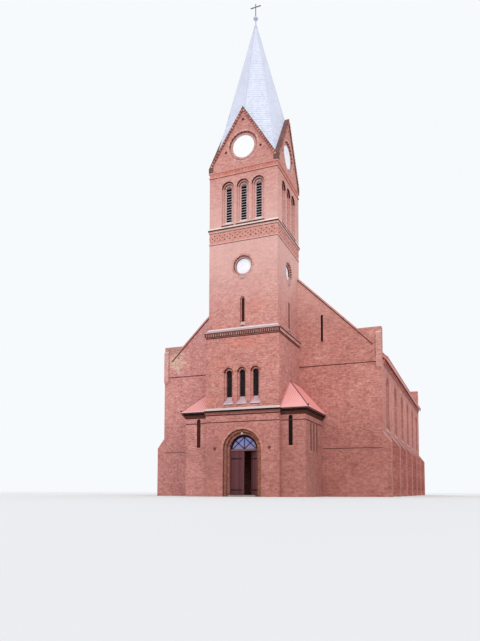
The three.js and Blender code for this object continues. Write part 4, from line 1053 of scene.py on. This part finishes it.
# %% Painted shade lines
# Reach of the plane that carries the strip, its top, and its height
TOWER_LINES = ((0.0, 4.74, 0.05), (0.0, 5.21, 0.07), (0.035, 5.3, 0.02), (0.065, 5.385, 0.05),
               (0.095, 5.47, 0.084), (0.0, 10.21, 0.05), (0.035, 10.29, 0.03), (0.105, 10.53, 0.05))
SHAFT_LINES = ((0.0, 16.47, 0.03), (0.0, 17.25, 0.03), (0.07, 17.455, 0.09), (0.0, 20.99, 0.03),
               (0.0, 21.34, 0.02))
SILL_SHADOWS, SILL_SHADOW_LINE = ((-1.49, -0.64), (-0.49, 1.49)), (0.04, 17.655, 0.065)
ANNEX_LINES = ((0.0, 4.74, 0.05), (0.0, 5.11, 0.06), (0.06, 5.205, 0.04), (0.12, 5.3, 0.05),
               (0.18, 5.39, 0.088))
ANNEX_FACE, ANNEX_HALF, ANNEX_END = 0.285, 4.07, 0.05
# Top, height and inner end of the lines across the nave's gables, and the line under their copings
NAVE_LINES = ((3.22, 0.04, 4.07), (8.88, 0.05, tower_half))
RAKE_RIDGE, RAKE_SLOPE, RAKE_FOOT, RAKE_HALF, RAKE_START = 17.37, 0.978, 7.46, 0.03, 1.7
GABLE_PLINTH = 0.12


# A thin strip of painted shade under a course.
def shade_strip(shape, left, right, reach, top, height):
    ends = sorted((left, right))
    shape.block(*ends, -reach - SKIN, -reach + 0.012, top - height, top)


lines, shadows, sills = new_shapes(3)
for reach, top, height in TOWER_LINES:
    side = tower_half + reach
    shape = shadows if height > 0.08 else lines
    shape.wall = front_wall
    shade_strip(shape, -side - SKIN, side + SKIN, reach, top, height)
    end = nave_reach if top > 9 else front_y + ANNEX_END - axis_y
    for turn in go_round((90, 270), tower_half, shape):
        near, far = flank_ends(turn, side, end)
        shade_strip(shape, -near, far, reach, top, height)
for turn in go_round(ALL_TURNS, shaft_half, lines, sills):
    for reach, top, height in SHAFT_LINES:
        if turn != 180 or top > 18:
            side = shaft_half + reach + SKIN
            shade_strip(lines, -side, side, reach, top, height)
    for left, right in SILL_SHADOWS:
        shade_strip(sills, left, right, *SILL_SHADOW_LINE)
finish_piece(lines, "tower_shade_lines", dark_brown_painted_shade)
finish_piece(sills, "belfry_sill_shadows", maroon_shadow)

lines = Shape()
annex_front = wall_frame(axis_y - front_y - ANNEX_FACE, 0)
for reach, top, height in ANNEX_LINES:
    shape = shadows if reach > 0.1 else lines
    for side in (-1, 1):
        shape.wall = annex_front
        shade_strip(shape, side * tower_half, side * (ANNEX_HALF + reach + SKIN), reach, top, height)
        shape.wall = wall_frame(ANNEX_HALF, side * 90)
        near, far = flank_ends(side * 90, axis_y - front_y - ANNEX_FACE + reach, nave_reach)
        shade_strip(shape, -near, far, reach, top, height)
finish_piece(lines, "annex_shade_lines", dark_brown_painted_shade)
finish_piece(shadows, "deep_shade_lines", shade_black)

shape = Shape()
west_gable = wall_frame(-nave_reach, 0)
east_gable = wall_frame(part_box("nave_east_wall")[1].y - axis_y - GABLE_PLINTH, 180)
for gable_wall, start in ((west_gable, RAKE_START), (east_gable, 0.0)):
    shape.wall = gable_wall
    for side in (-1, 1):
        for top, height, inner in NAVE_LINES:
            shade_strip(shape, side * (inner if start else 0.0), side * nave_half, 0.0, top, height)
        ends = [(side * x, RAKE_RIDGE - RAKE_SLOPE * x - RAKE_HALF) for x in (start, RAKE_FOOT)]
        strip(shape, *ends, RAKE_HALF, -SKIN, SUNK)
finish_piece(shape, "nave_shade_lines", dark_brown_painted_shade)

# %% [markdown]
# The sill course of the belfry is washed nearly white by the rain. A thin cover lies on its face and on
# the slope above, and its four sides meet in mitres at the corners.

# %% Washed course under the belfry
WASHED_REACH, WASHED_FOOT, WASHED_LIP, WASHED_TOP, WASHED_COVER = 0.07, 17.455, 17.503, 17.586, 0.005

shape = Shape()
out, cover = WASHED_REACH + WASHED_COVER, WASHED_COVER
wide, slim = shaft_half + out, shaft_half + cover
for _ in go_round(ALL_TURNS, shaft_half, shape):
    shape.block(-wide, wide, -out, -out + SUNK, WASHED_FOOT, WASHED_LIP)
    upper = [(-wide, -out, WASHED_LIP), (wide, -out, WASHED_LIP), (slim, -cover, WASHED_TOP),
             (-slim, -cover, WASHED_TOP)]
    shape.cover(upper, SUNK, SUNK)
finish_piece(shape, "belfry_washed_course", washed_lime)

# %% [markdown]
# The belfry lights step back twice, and three of them stand side by side on each face. Rings of wedge
# bricks follow every step, and maroon crescents and soffits are painted shadows under them. The louvre
# slats lie behind: tilted grey boards that shed the rain, between pale posts, with a dark board of
# painted shade in the head of each arch and a black sheet of painted shade for the dark room behind.
# The slats' pale grey is partly painted light on their front edges. They replace the plain plates of the
# frame.

# %% Belfry arches and louvres
BELFRY_PITCH, LOUVRE_HALF, LOUVRE_SILL, LOUVRE_SPRINGING = 1.045, 0.19, 17.9, 20.15
# Half width, crown, depth of the face, and width of the ring of each order
BELFRY_ORDERS = ((0.43, 20.6, 0.0, 0.088), (0.315, 20.48, 0.12, 0.11), (LOUVRE_HALF, 20.34, 0.2, 0.12))
# Half width and crown of an order, depth and width of the shadow on the plane behind it
CRESCENTS = ((0.43, 20.6, 0.12, 0.035), (0.315, 20.48, 0.2, 0.03))
FOOT_STONE = ((0.06, 17.795), (0.125, 17.9))
POST_WIDTH, POST_DEPTHS, HEAD_DEPTHS = 0.016, (0.19, 0.21), (0.2, 0.215)
# Left, right, near, far, foot and top of the dark sheet behind the slats
BACKING = (-1.3, 1.3, 0.256, 0.28, 17.85, 20.52)
SLAT_PITCH, SLAT_TILT, SLAT_DEPTH = 0.174, math.radians(30), 0.044
SLAT_THICKNESS, SLAT_NEAR = 0.017, 0.206
slat_rise, slat_run = math.sin(SLAT_TILT) * SLAT_DEPTH, math.cos(SLAT_TILT) * SLAT_DEPTH
half = LOUVRE_HALF - 0.004

for label, turn in zip(("front", "right", "back", "left"), ALL_TURNS):
    arches, slats, shades, crescents, frames, heads, backing = new_shapes(7, wall_frame(shaft_half, turn))
    for index in (-1, 0, 1):
        x = index * BELFRY_PITCH
        for inner, crown, depth, width in BELFRY_ORDERS:
            count = int(math.pi * (inner + width) / COURSE)
            arches.arch((x, crown - inner), inner, width, depth, count)
            shades.soffit((x, crown - inner), inner, depth, depth + (0.05 if depth else 0.12))
        for inner, crown, depth, thick in CRESCENTS:
            crescents.shade((x, crown - inner), inner - thick, inner, depth - PROUD - 0.002, depth + SUNK)
        frames.pair(x, half + 0.002, half + POST_WIDTH, *POST_DEPTHS, LOUVRE_SILL, LOUVRE_SPRINGING)
        sloping_stone(frames, x, LOUVRE_HALF + 0.015, *FOOT_STONE)
        heads.arched_plate(x, half, LOUVRE_SPRINGING + 0.02, BELFRY_ORDERS[2][1] - 0.004, *HEAD_DEPTHS)
        height = LOUVRE_SILL
        while height < LOUVRE_SPRINGING:
            near, far, top = SLAT_NEAR, SLAT_NEAR + slat_run, height + slat_rise
            low = [(x - half, far, top), (x + half, far, top), (x + half, near, height),
                   (x - half, near, height)]
            slats.cover(low, -SLAT_THICKNESS, 0.0)
            height += SLAT_PITCH
    # A black sheet of painted shade for the dark room behind the slats.
    backing.block(*BACKING)
    finish_piece(arches, f"belfry_arch_bricks_{label}", light_brick)
    finish_piece(shades, f"belfry_shades_{label}", maroon_shadow)
    finish_piece(heads, f"louvre_heads_{label}", head_wood)
    finish_piece(crescents, f"belfry_crescents_{label}", maroon_shadow)
    finish_piece(frames, f"louvre_frames_{label}", pale_lip)
    louvres = finish_piece(slats, f"louvre_slats_{label}", louvre_wood)
    finish_piece(backing, f"louvre_backing_{label}", shade_black)
    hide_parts(f"belfry_louvres_{label}")

# %% [markdown]
# The four gables carry a row of small brick dentils under their copings, and a large round niche whose
# field is limewashed. A ring of wedge bricks frames the niche, and painted shade darkens its upper half
# and the three small holes.

# %% Gables
APEX, GABLE_SLOPE, GABLE_EAVES = 25.26, 1.58, 21.62
NICHE_CENTRE, NICHE_RADIUS, NICHE_DEPTH, NICHE_FIELD = (0, 22.83), 0.98, 0.12, 0.74
DENTIL_PITCH, DENTIL_HALF, DENTIL_START, DENTIL_REACH = 0.2, 0.055, 0.12, (-0.09, 0.035)
GABLE_HOLES, HOLE_REACH = ((0, 24.62), (-1.21, 22.59), (1.21, 22.59)), 0.107
HOLE_DEPTHS, DENTIL_DEPTHS = (0.03, 0.102), (-0.1, -0.05)
rake = math.hypot(1, GABLE_SLOPE)
down = Vector((1 / rake, -GABLE_SLOPE / rake))
inward = Vector((-GABLE_SLOPE / rake, -1 / rake))
dentil_count = int((APEX - GABLE_EAVES) / GABLE_SLOPE * rake / DENTIL_PITCH)

bricks, dentils, discs, shades = new_shapes(4)
for _ in go_round(ALL_TURNS, shaft_half, bricks, dentils, discs, shades):
    bricks.arch(NICHE_CENTRE, NICHE_RADIUS, HALF_BRICK, 0.0, 92, 0, 360)
    back = NICHE_DEPTH + SUNK
    shades.shade(NICHE_CENTRE, NICHE_RADIUS - 0.035, NICHE_RADIUS, NICHE_DEPTH - 0.012, back)
    shades.soffit(NICHE_CENTRE, NICHE_RADIUS, 0.0, NICHE_DEPTH)
    discs.disc(NICHE_CENTRE, NICHE_FIELD, NICHE_DEPTH - 0.02, back, 64)
    bricks.ring(NICHE_CENTRE, NICHE_FIELD + 0.01, NICHE_FIELD + 0.13, NICHE_DEPTH - 0.03, back, 72, 0, 360)
    for x, height in GABLE_HOLES:
        shades.outline([(x - HOLE_REACH, height), (x, height - HOLE_REACH), (x + HOLE_REACH, height),
                        (x, height + HOLE_REACH)], *HOLE_DEPTHS)
    for side in (-1, 1):
        for index in range(dentil_count):
            along = DENTIL_START + index * DENTIL_PITCH
            flat = []
            for step, drop in ((-1, 0), (1, 0), (1, 1), (-1, 1)):
                point = down * (along + step * DENTIL_HALF) + inward * DENTIL_REACH[drop]
                flat.append((side * point.x, APEX + point.y))
            dentils.outline(flat, *DENTIL_DEPTHS)
finish_piece(bricks, "gable_niche_bricks", light_brick)
finish_piece(dentils, "gable_dentils", arch_brick)
finish_piece(discs, "gable_niche_fields", plaster)
finish_piece(shades, "gable_shades", dark_brown_painted_shade)

# %% [markdown]
# The white roundels of the shaft sit in two steps of brick, each with its own ring, and rest on a small
# bracket stone. Below each a slim slit has a dark pane of painted shade, and painted shade covers the
# reveals of all of them, dark red in the crescents round the outer ring and the slit's recess.

# %% Roundels and shaft slits
ROUNDEL_CENTRE, ROUNDEL_OUTER, ROUNDEL_INNER = (0, 14.835), 0.655, 0.52
ROUNDEL_DEPTH, ROUNDEL_BACK = 0.12, 0.245
# Half width, sill and crown of the slit and of the recess round it
SHAFT_SLIT, SLIT_RECESS = (0.095, 11.15, 12.73), (0.17, 10.95, 12.8)
SLIT_RECESS_DEPTH, SLIT_SKIN_DEPTH, SLIT_SILL_HALF, SLIT_SILL_HEIGHT = 0.08, 0.2, 0.12, 0.05
# Left, right, near, far, foot and top of the bracket stone under the roundel
BRACKET = (-0.15, 0.15, -0.06, SUNK, 13.98, 14.06)

bricks, stones, shades, panes, crescents = shapes = new_shapes(5)
for _ in go_round(SEEN_TURNS, shaft_half, *shapes):
    outer, inner, depth = ROUNDEL_OUTER, ROUNDEL_INNER, ROUNDEL_DEPTH
    bricks.arch(ROUNDEL_CENTRE, outer, HALF_BRICK, 0.0, 64, 0, 360)
    bricks.arch(ROUNDEL_CENTRE, inner, 0.082, depth, 52, 0, 360)
    crescents.shade(ROUNDEL_CENTRE, outer - 0.05, outer, depth - PROUD, depth + SUNK, 0, 360)
    crescents.soffit(ROUNDEL_CENTRE, outer, 0.0, depth, -20, 220)
    shades.soffit(ROUNDEL_CENTRE, inner, depth, ROUNDEL_BACK, -10, 210)
    shades.shade(ROUNDEL_CENTRE, inner - 0.03, inner, ROUNDEL_BACK - 0.009, ROUNDEL_BACK, 0, 210)
    stones.block(*BRACKET)
    crescents.lining(0, *SLIT_RECESS, 0.0, SLIT_RECESS_DEPTH)
    shades.lining(0, *SHAFT_SLIT, SLIT_RECESS_DEPTH, SLIT_SKIN_DEPTH)
    half, sill, crown = SHAFT_SLIT
    panes.arched_plate(0, half - 0.003, sill + 0.01, crown - 0.003, 0.11, 0.13)
    middle = SLIT_RECESS[1] - SLIT_SILL_HEIGHT
    stones.block(-SLIT_SILL_HALF, SLIT_SILL_HALF, -SILL_REACH, SUNK, middle, SLIT_RECESS[1])
    shades.block(-SLIT_SILL_HALF, SLIT_SILL_HALF, -SKIN, SUNK, middle - SLIT_SILL_HEIGHT, middle)
finish_piece(bricks, "roundel_bricks", light_brick)
finish_piece(stones, "shaft_stones", sill_stone)
finish_piece(shades, "shaft_shades", dark_brown_painted_shade)
finish_piece(crescents, "shaft_crescents", painted_red_shade)
finish_piece(panes, "shaft_panes", slit_shadow)

# %% [markdown]
# The spire's shingles lie in overlapping courses. Each course is a thin band that flares a little at
# its foot, and between the gables the bands are cut by the square of the shaft. Rolls of lead cover the
# eight seams.

# %% Spire courses and seams
SPIRE_APEX, SPIRE_SPREAD, SPIRE_SQUARE, SPIRE_FOOT, SEAM_FOOT = 33.15, 0.272, 2.1, 21.75, 21.9
COURSE_RISE, COURSE_FLARE, COURSE_POINTS, BARE_TIP = 0.24, 0.01, 48, 0.7
SEAM_HALF, SEAM_PROUD, SEAM_STOP = 0.03, 0.022, 0.42
spire_axis = Matrix.Translation((0, axis_y, 0))


def square_reach(angle):
    """Distance from the axis to the square inside the gables, in one direction."""
    return SPIRE_SQUARE / math.cos((angle + math.pi / 4) % (math.pi / 2) - math.pi / 4)


def spire_reach(angle, height, extra):
    """Distance from the axis to the spire's face, in one direction, never beyond the square."""
    radius = (SPIRE_APEX - height) * SPIRE_SPREAD
    within = (angle + math.pi / 8) % (math.pi / 4) - math.pi / 8
    face = radius * math.cos(math.pi / 8) / math.cos(math.pi / 8 - abs(within))
    return min(face + extra, square_reach(angle))


shape = Shape(spire_axis)
height = SPIRE_FOOT
while height < SPIRE_APEX - BARE_TIP:
    start = len(shape.points)
    for level, extra in ((height, COURSE_FLARE), (height + COURSE_RISE, 0.003)):
        for index in range(COURSE_POINTS):
            angle = math.tau * index / COURSE_POINTS
            shape.add((*on_circle((0, 0), spire_reach(angle, level, extra), angle), level))
    for index in range(COURSE_POINTS):
        angle = math.tau * (index + 0.5) / COURSE_POINTS
        here, there = start + index, start + (index + 1) % COURSE_POINTS
        if spire_reach(angle, height, 0) <= square_reach(angle) - 0.02:
            shape.faces.append([here, there, there + COURSE_POINTS, here + COURSE_POINTS])
    height += COURSE_RISE
finish_piece(shape, "spire_courses", spire_shingle)

shape = Shape(spire_axis)
for index in range(8):
    angle = math.tau * index / 8
    way = Vector((math.cos(angle), math.sin(angle), 0))
    side = Vector((-way.y, way.x, 0)) * SEAM_HALF
    ends = []
    for height, wide in ((SPIRE_APEX - SEAM_STOP, 0.5), (SEAM_FOOT if index % 2 else APEX + 0.3, 1.0)):
        middle = way * spire_reach(angle, height, 0) + Vector((0, 0, height))
        crest = middle + way * SEAM_PROUD
        side_step = side * wide
        ends.append([middle - side_step, crest - side_step * 0.6, crest + side_step * 0.6,
                     middle + side_step, middle - way * 0.03])
    shape.prism(*ends)
finish_piece(shape, "spire_seams", seam_lead)

# %% [markdown]
# The annexes have lean-to roofs with a hipped front. Fine standing ribs run up the slopes and end at
# the hip, the hip itself is a dark roll with a knob at its foot, and a red fillet closes the joint to
# the walls. A `rail` is a narrow roof-shaped bar between two points in space. The two roofs differ in the
# width of their ribs and in the tone of the fascia, which is lighter on the left as painted light, and
# the hip of the left one lies in mortar.

# %% Annex roofs
ROOF_FRONT, ROOF_OUTER, HIP_DEPTH, ROOF_EAVES, ROOF_TOP, FASCIA_FOOT = 0.05, 4.305, 2.21, 5.505, 7.54, 5.46
RIB_PITCH, RIB_RISE, FASCIA_PROUD, SOFFIT_HEIGHT = 0.14, 0.016, 0.012, 0.07
HIP_KNOB = ((0.02, 0.0), (0.05, 0.03), (0.055, 0.07), (0.035, 0.11), (0.01, 0.13))
# Name, side, half width and finish of the ribs, finish of the fascia
ANNEXES = (("right", 1, 0.012, rib_tile, fascia_paint), ("left", -1, 0.024, deep_rib_tile, bright_fascia))


def rail(shape, first, second, up, half, rise):
    side = (second - first).normalized().cross(up).normalized() * half
    lift = up.normalized()
    shape.prism(*([point - side - lift * SUNK, point + side - lift * SUNK, point + side * 0.6 + lift * rise,
                   point - side * 0.6 + lift * rise] for point in (first, second)))


def spot(side, x, y, z):
    """A point on one of the annexes, with its depth given from the tower's front."""
    return Vector((side * x, front_y + y, z))


for label, side, rib_half, rib_finish, fascia_finish in ANNEXES:
    back, roof_rise = nave_front_y - front_y, ROOF_TOP - ROOF_EAVES
    width, run = ROOF_OUTER - tower_half, HIP_DEPTH - ROOF_FRONT
    corner, heel = (spot(side, ROOF_OUTER, y, ROOF_EAVES) for y in (ROOF_FRONT, back))
    top, peak = (spot(side, tower_half, y, ROOF_TOP) for y in (HIP_DEPTH, back))
    foot = spot(side, tower_half, ROOF_FRONT, ROOF_EAVES)
    ups = (top - peak).cross(heel - peak), (foot - corner).cross(top - corner)
    side_up, front_up = (up if up.z > 0 else -up for up in ups)
    ribs, hips, fillets, fascia, gaps = new_shapes(5)
    for index in range(1, int((back - ROOF_FRONT) / RIB_PITCH)):
        y = index * RIB_PITCH
        share = min(y / run, 1.0)
        low = spot(side, ROOF_OUTER - 0.005, ROOF_FRONT + y, ROOF_EAVES)
        high = spot(side, ROOF_OUTER - width * share, ROOF_FRONT + y, ROOF_EAVES + roof_rise * share)
        rail(ribs, low, high, side_up, rib_half, RIB_RISE)
    for index in range(1, int(width / RIB_PITCH) + 1):
        x = index * RIB_PITCH
        share = x / width
        low = spot(side, ROOF_OUTER - x, ROOF_FRONT + 0.005, ROOF_EAVES)
        high = spot(side, ROOF_OUTER - x, ROOF_FRONT + run * share, ROOF_EAVES + roof_rise * share)
        rail(ribs, low, high, front_up, rib_half, RIB_RISE)
    finish_piece(ribs, f"annex_roof_ribs_{label}", rib_finish)

    rail(hips, corner, top, side_up.normalized() + front_up.normalized(), 0.022, 0.026)
    turned(hips, (corner.x, corner.y), [(radius, corner.z + rise) for radius, rise in HIP_KNOB], 12)
    finish_piece(hips, f"annex_hip_{label}", dark_brown_painted_shade)

    lift = Vector((side * 0.5, -0.3, 1))
    rail(fillets, foot, top, lift, 0.07, 0.05)
    rail(fillets, top, peak, lift, 0.07, 0.06)
    rail(fillets, peak, heel, lift, 0.07, 0.05)
    if side < 0:
        rail(fillets, corner, top + (foot - top) * 0.03, front_up, 0.06, 0.022)
    finish_piece(fillets, f"annex_fillets_{label}", mortar_fillet)

    front, low, high = front_y + ROOF_FRONT, FASCIA_FOOT, ROOF_EAVES - 0.012
    ends = sorted((side * tower_half, side * (ROOF_OUTER + FASCIA_PROUD)))
    fascia.block(*ends, front - FASCIA_PROUD, front + 0.004, low, high)
    # A dark strip of painted shade under each fascia.
    gaps.block(*ends, front - 0.006, front + 0.03, low - SOFFIT_HEIGHT, low)
    ends = sorted((side * (ROOF_OUTER - 0.004), side * (ROOF_OUTER + FASCIA_PROUD)))
    fascia.block(*ends, front + 0.004, nave_front_y, low, high)
    edge = side * ROOF_OUTER
    gaps.block(edge - 0.006, edge + 0.006, front + 0.03, nave_front_y, low - SOFFIT_HEIGHT, low)
    finish_piece(gaps, f"annex_soffit_{label}", dark_brown_painted_shade)
    finish_piece(fascia, f"annex_fascia_{label}", fascia_finish)

# %% [markdown]
# The nave roof is laid with pantiles. One tile is a wave in section, its lower edge lies on the course
# below, and every tile is an island of its own, so that the shader can tint it. Half-round tiles cover
# the ridge.

# %% Nave pantiles
RIDGE, ROOF_SLOPE, TILES_FROM, TILES_TO, ROOF_STARTS, ROOF_ENDS = 17.36, 0.978, 0.1, 8.36, 4.99, 30.87
TILE_COURSES, TILE_COUNT, TILE_STEPS, TILE_FILL, WAVE, STEP_UP = 32, 104, 6, 0.985, 0.022, 0.028
RIDGE_TILE, RIDGE_RADIUS, RIDGE_SINK = 0.4, 0.14, 0.06

slope_length = math.hypot(1, ROOF_SLOPE)
lift = Vector((ROOF_SLOPE / slope_length, 0, 1 / slope_length))
pitch = (ROOF_ENDS - ROOF_STARTS) / TILE_COUNT
course_width = (TILES_TO - TILES_FROM) / TILE_COURSES
row = TILE_STEPS + 1
for label, side in (("left", -1), ("right", 1)):
    shape = Shape()
    for course in range(TILE_COURSES):
        upper = TILES_FROM + course * course_width
        lower = upper + course_width
        for tile in range(TILE_COUNT):
            y = front_y + ROOF_STARTS + tile * pitch
            start = len(shape.points)
            for x, raise_by in ((lower, 0.0), (lower, STEP_UP + 0.006), (upper, 0.008)):
                for step in range(row):
                    share = step / TILE_STEPS
                    wave = WAVE * (0.5 - 0.5 * math.cos(math.tau * share)) if raise_by else 0.0
                    point = Vector((x, y + share * pitch * TILE_FILL, RIDGE - ROOF_SLOPE * x))
                    point = point + lift * (raise_by + wave)
                    shape.add((side * point.x, point.y, point.z))
            for step in range(TILE_STEPS):
                for first in (start + step, start + row + step):
                    face = [first, first + 1, first + 1 + row, first + row]
                    shape.faces.append(face if side > 0 else face[::-1])
    finish_piece(shape, f"nave_pantiles_{label}", nave_tile)

shape = Shape()
count = int((ROOF_ENDS - ROOF_STARTS) / RIDGE_TILE)
length = (ROOF_ENDS - ROOF_STARTS) / count
section = [on_circle((0, RIDGE - RIDGE_SINK), RIDGE_RADIUS, math.radians(a)) for a in range(-20, 201, 20)]
for tile in range(count):
    y = front_y + ROOF_STARTS + tile * length
    shape.outline([(x * 1.04, z + 0.008) for x, z in section], y, y + length * 0.2)
    shape.outline(section, y + length * 0.2, y + length * 0.99)
finish_piece(shape, "ridge_tiles", nave_tile)

# %% [markdown]
# Each long wall of the nave has six tall round-arched windows. They get wedge brick arches, sloping
# stone sills, a rim and glazing bars of iron in front of the leaded glass.

# %% Nave windows
BAYS, AISLE_START, AISLE_END = 6, 4.98, 30.88
WINDOW_HALF, WINDOW_SILL, WINDOW_CROWN, WINDOW_DEPTH = 0.55, 4.7, 8.05, 0.12
OUTER_HALF, OUTER_SILL, OUTER_CROWN = 0.75, 4.45, 8.25
BAR_DEPTH, RIM, RIM_DEPTH, BAR_THICK = 0.56, 0.05, 0.04, 0.014
bay = (AISLE_END - AISLE_START) / BAYS
half, springing = WINDOW_HALF, WINDOW_CROWN - WINDOW_HALF

for label, turn in (("right", 90), ("left", 270)):
    arches, sills, bars = new_shapes(3, wall_frame(nave_half, turn))
    for index in range(BAYS):
        y = front_y + AISLE_START + (index + 0.5) * bay - axis_y
        x = y if turn == 90 else -y
        arches.arch((x, OUTER_CROWN - OUTER_HALF), OUTER_HALF, 2 * HALF_BRICK, 0.0, 39)
        arches.arch((x, springing), half + 0.002, 0.128, WINDOW_DEPTH, 27)
        left, right, low = x - OUTER_HALF + 0.005, x + OUTER_HALF - 0.005, OUTER_SILL - SILL_BODY
        sills.prism(*([(left, depth, low), (right, depth, low), (right, depth, top), (left, depth, top)]
                      for depth, top in ((-0.05, OUTER_SILL + 0.01), (0.13, OUTER_SILL + 0.24))))
        bars.ring((x, springing), half - RIM, half - 0.002, BAR_DEPTH - RIM_DEPTH, BAR_DEPTH, 24, joint=0.0)
        bars.pair(x, half - RIM, half - 0.002, BAR_DEPTH - RIM_DEPTH, BAR_DEPTH, WINDOW_SILL + 0.002,
                  springing)
        for middle in (x - half / 3, x + half / 3):
            bars.block(middle - BAR_THICK, middle + BAR_THICK, BAR_DEPTH - 0.03, BAR_DEPTH,
                       WINDOW_SILL + 0.01, springing + half * 0.9)
        for level in range(1, 5):
            height = WINDOW_SILL + level * (springing - WINDOW_SILL) / 4
            bars.block(x - half + RIM, x + half - RIM, BAR_DEPTH - 0.034, BAR_DEPTH, height - BAR_THICK,
                       height + BAR_THICK)
    finish_piece(arches, f"nave_arch_bricks_{label}", arch_brick)
    finish_piece(sills, f"nave_sills_{label}", sill_stone)
    finish_piece(bars, f"nave_window_bars_{label}", iron)

# %% [markdown]
# The slim slits of the annexes and of the nave's gable read as black lines. A dark pane of painted shade
# stands 5 cm behind the face, painted shade lines the reveals, and a sloping brick sheds the rain at the
# foot. The panes left of the door are a browner painted shade.

# %% Slits and their sills
# Places along the wall, then half width, sill and crown
ANNEX_FRONT_SLITS = ((3.12,), 0.13, 3.15, 5.03)
ANNEX_SIDE_SLITS = (tuple(front_y + place - axis_y for place in (1.52, 2.24, 2.99)), 0.1, 2.86, 4.69)
GABLE_SLITS = ((4.085,), 0.075, 10.52, 12.37)
SLIT_DEPTH, PANE_THICK = 0.05, 0.02

stones, shades, panes, dark_panes = shapes = new_shapes(4)
for side in (-1, 1):
    for wall, (places, half, low, crown) in (
            (annex_front, ANNEX_FRONT_SLITS), (wall_frame(ANNEX_HALF, 90 * side), ANNEX_SIDE_SLITS),
            (west_gable, GABLE_SLITS)):
        set_walls(shapes, wall)
        for x in (side * place for place in places):
            sloping_stone(stones, x, half + 0.04, (-0.035, low - 0.03), (0.02, low - 0.002))
            shades.lining(x, half, low, crown, 0.0, SLIT_DEPTH + PANE_THICK)
            pane = dark_panes if x > 0 else panes
            pane.arched_plate(x, half - 0.002, low + 0.002, crown - 0.002, SLIT_DEPTH,
                              SLIT_DEPTH + PANE_THICK)
finish_piece(stones, "slit_sills", arch_brick)
finish_piece(shades, "slit_shades", dark_brown_painted_shade)
finish_piece(panes, "slit_panes_brown", slit_shadow)
finish_piece(dark_panes, "slit_panes_black", shade_black)

# %% [markdown]
# Last comes the floor: one wide, pale sheet under the building.

# %% Floor
FLOOR_REACH = 260
floor_finish = Finish("pale_floor", Roughness=0.9)
cloud = floor_finish.noise(floor_finish.place(), 0.05, 3.0)
floor_color = floor_finish.mix(cloud, (0.66, 0.66, 0.67), (0.72, 0.72, 0.73))
floor_finish.feed(floor_finish.shader.inputs["Base Color"], floor_color)
floor = Shape()
floor.block(-FLOOR_REACH, FLOOR_REACH, -FLOOR_REACH, FLOOR_REACH, -0.1, -0.002)
make_object(floor, "pale_floor", floor_finish.material)
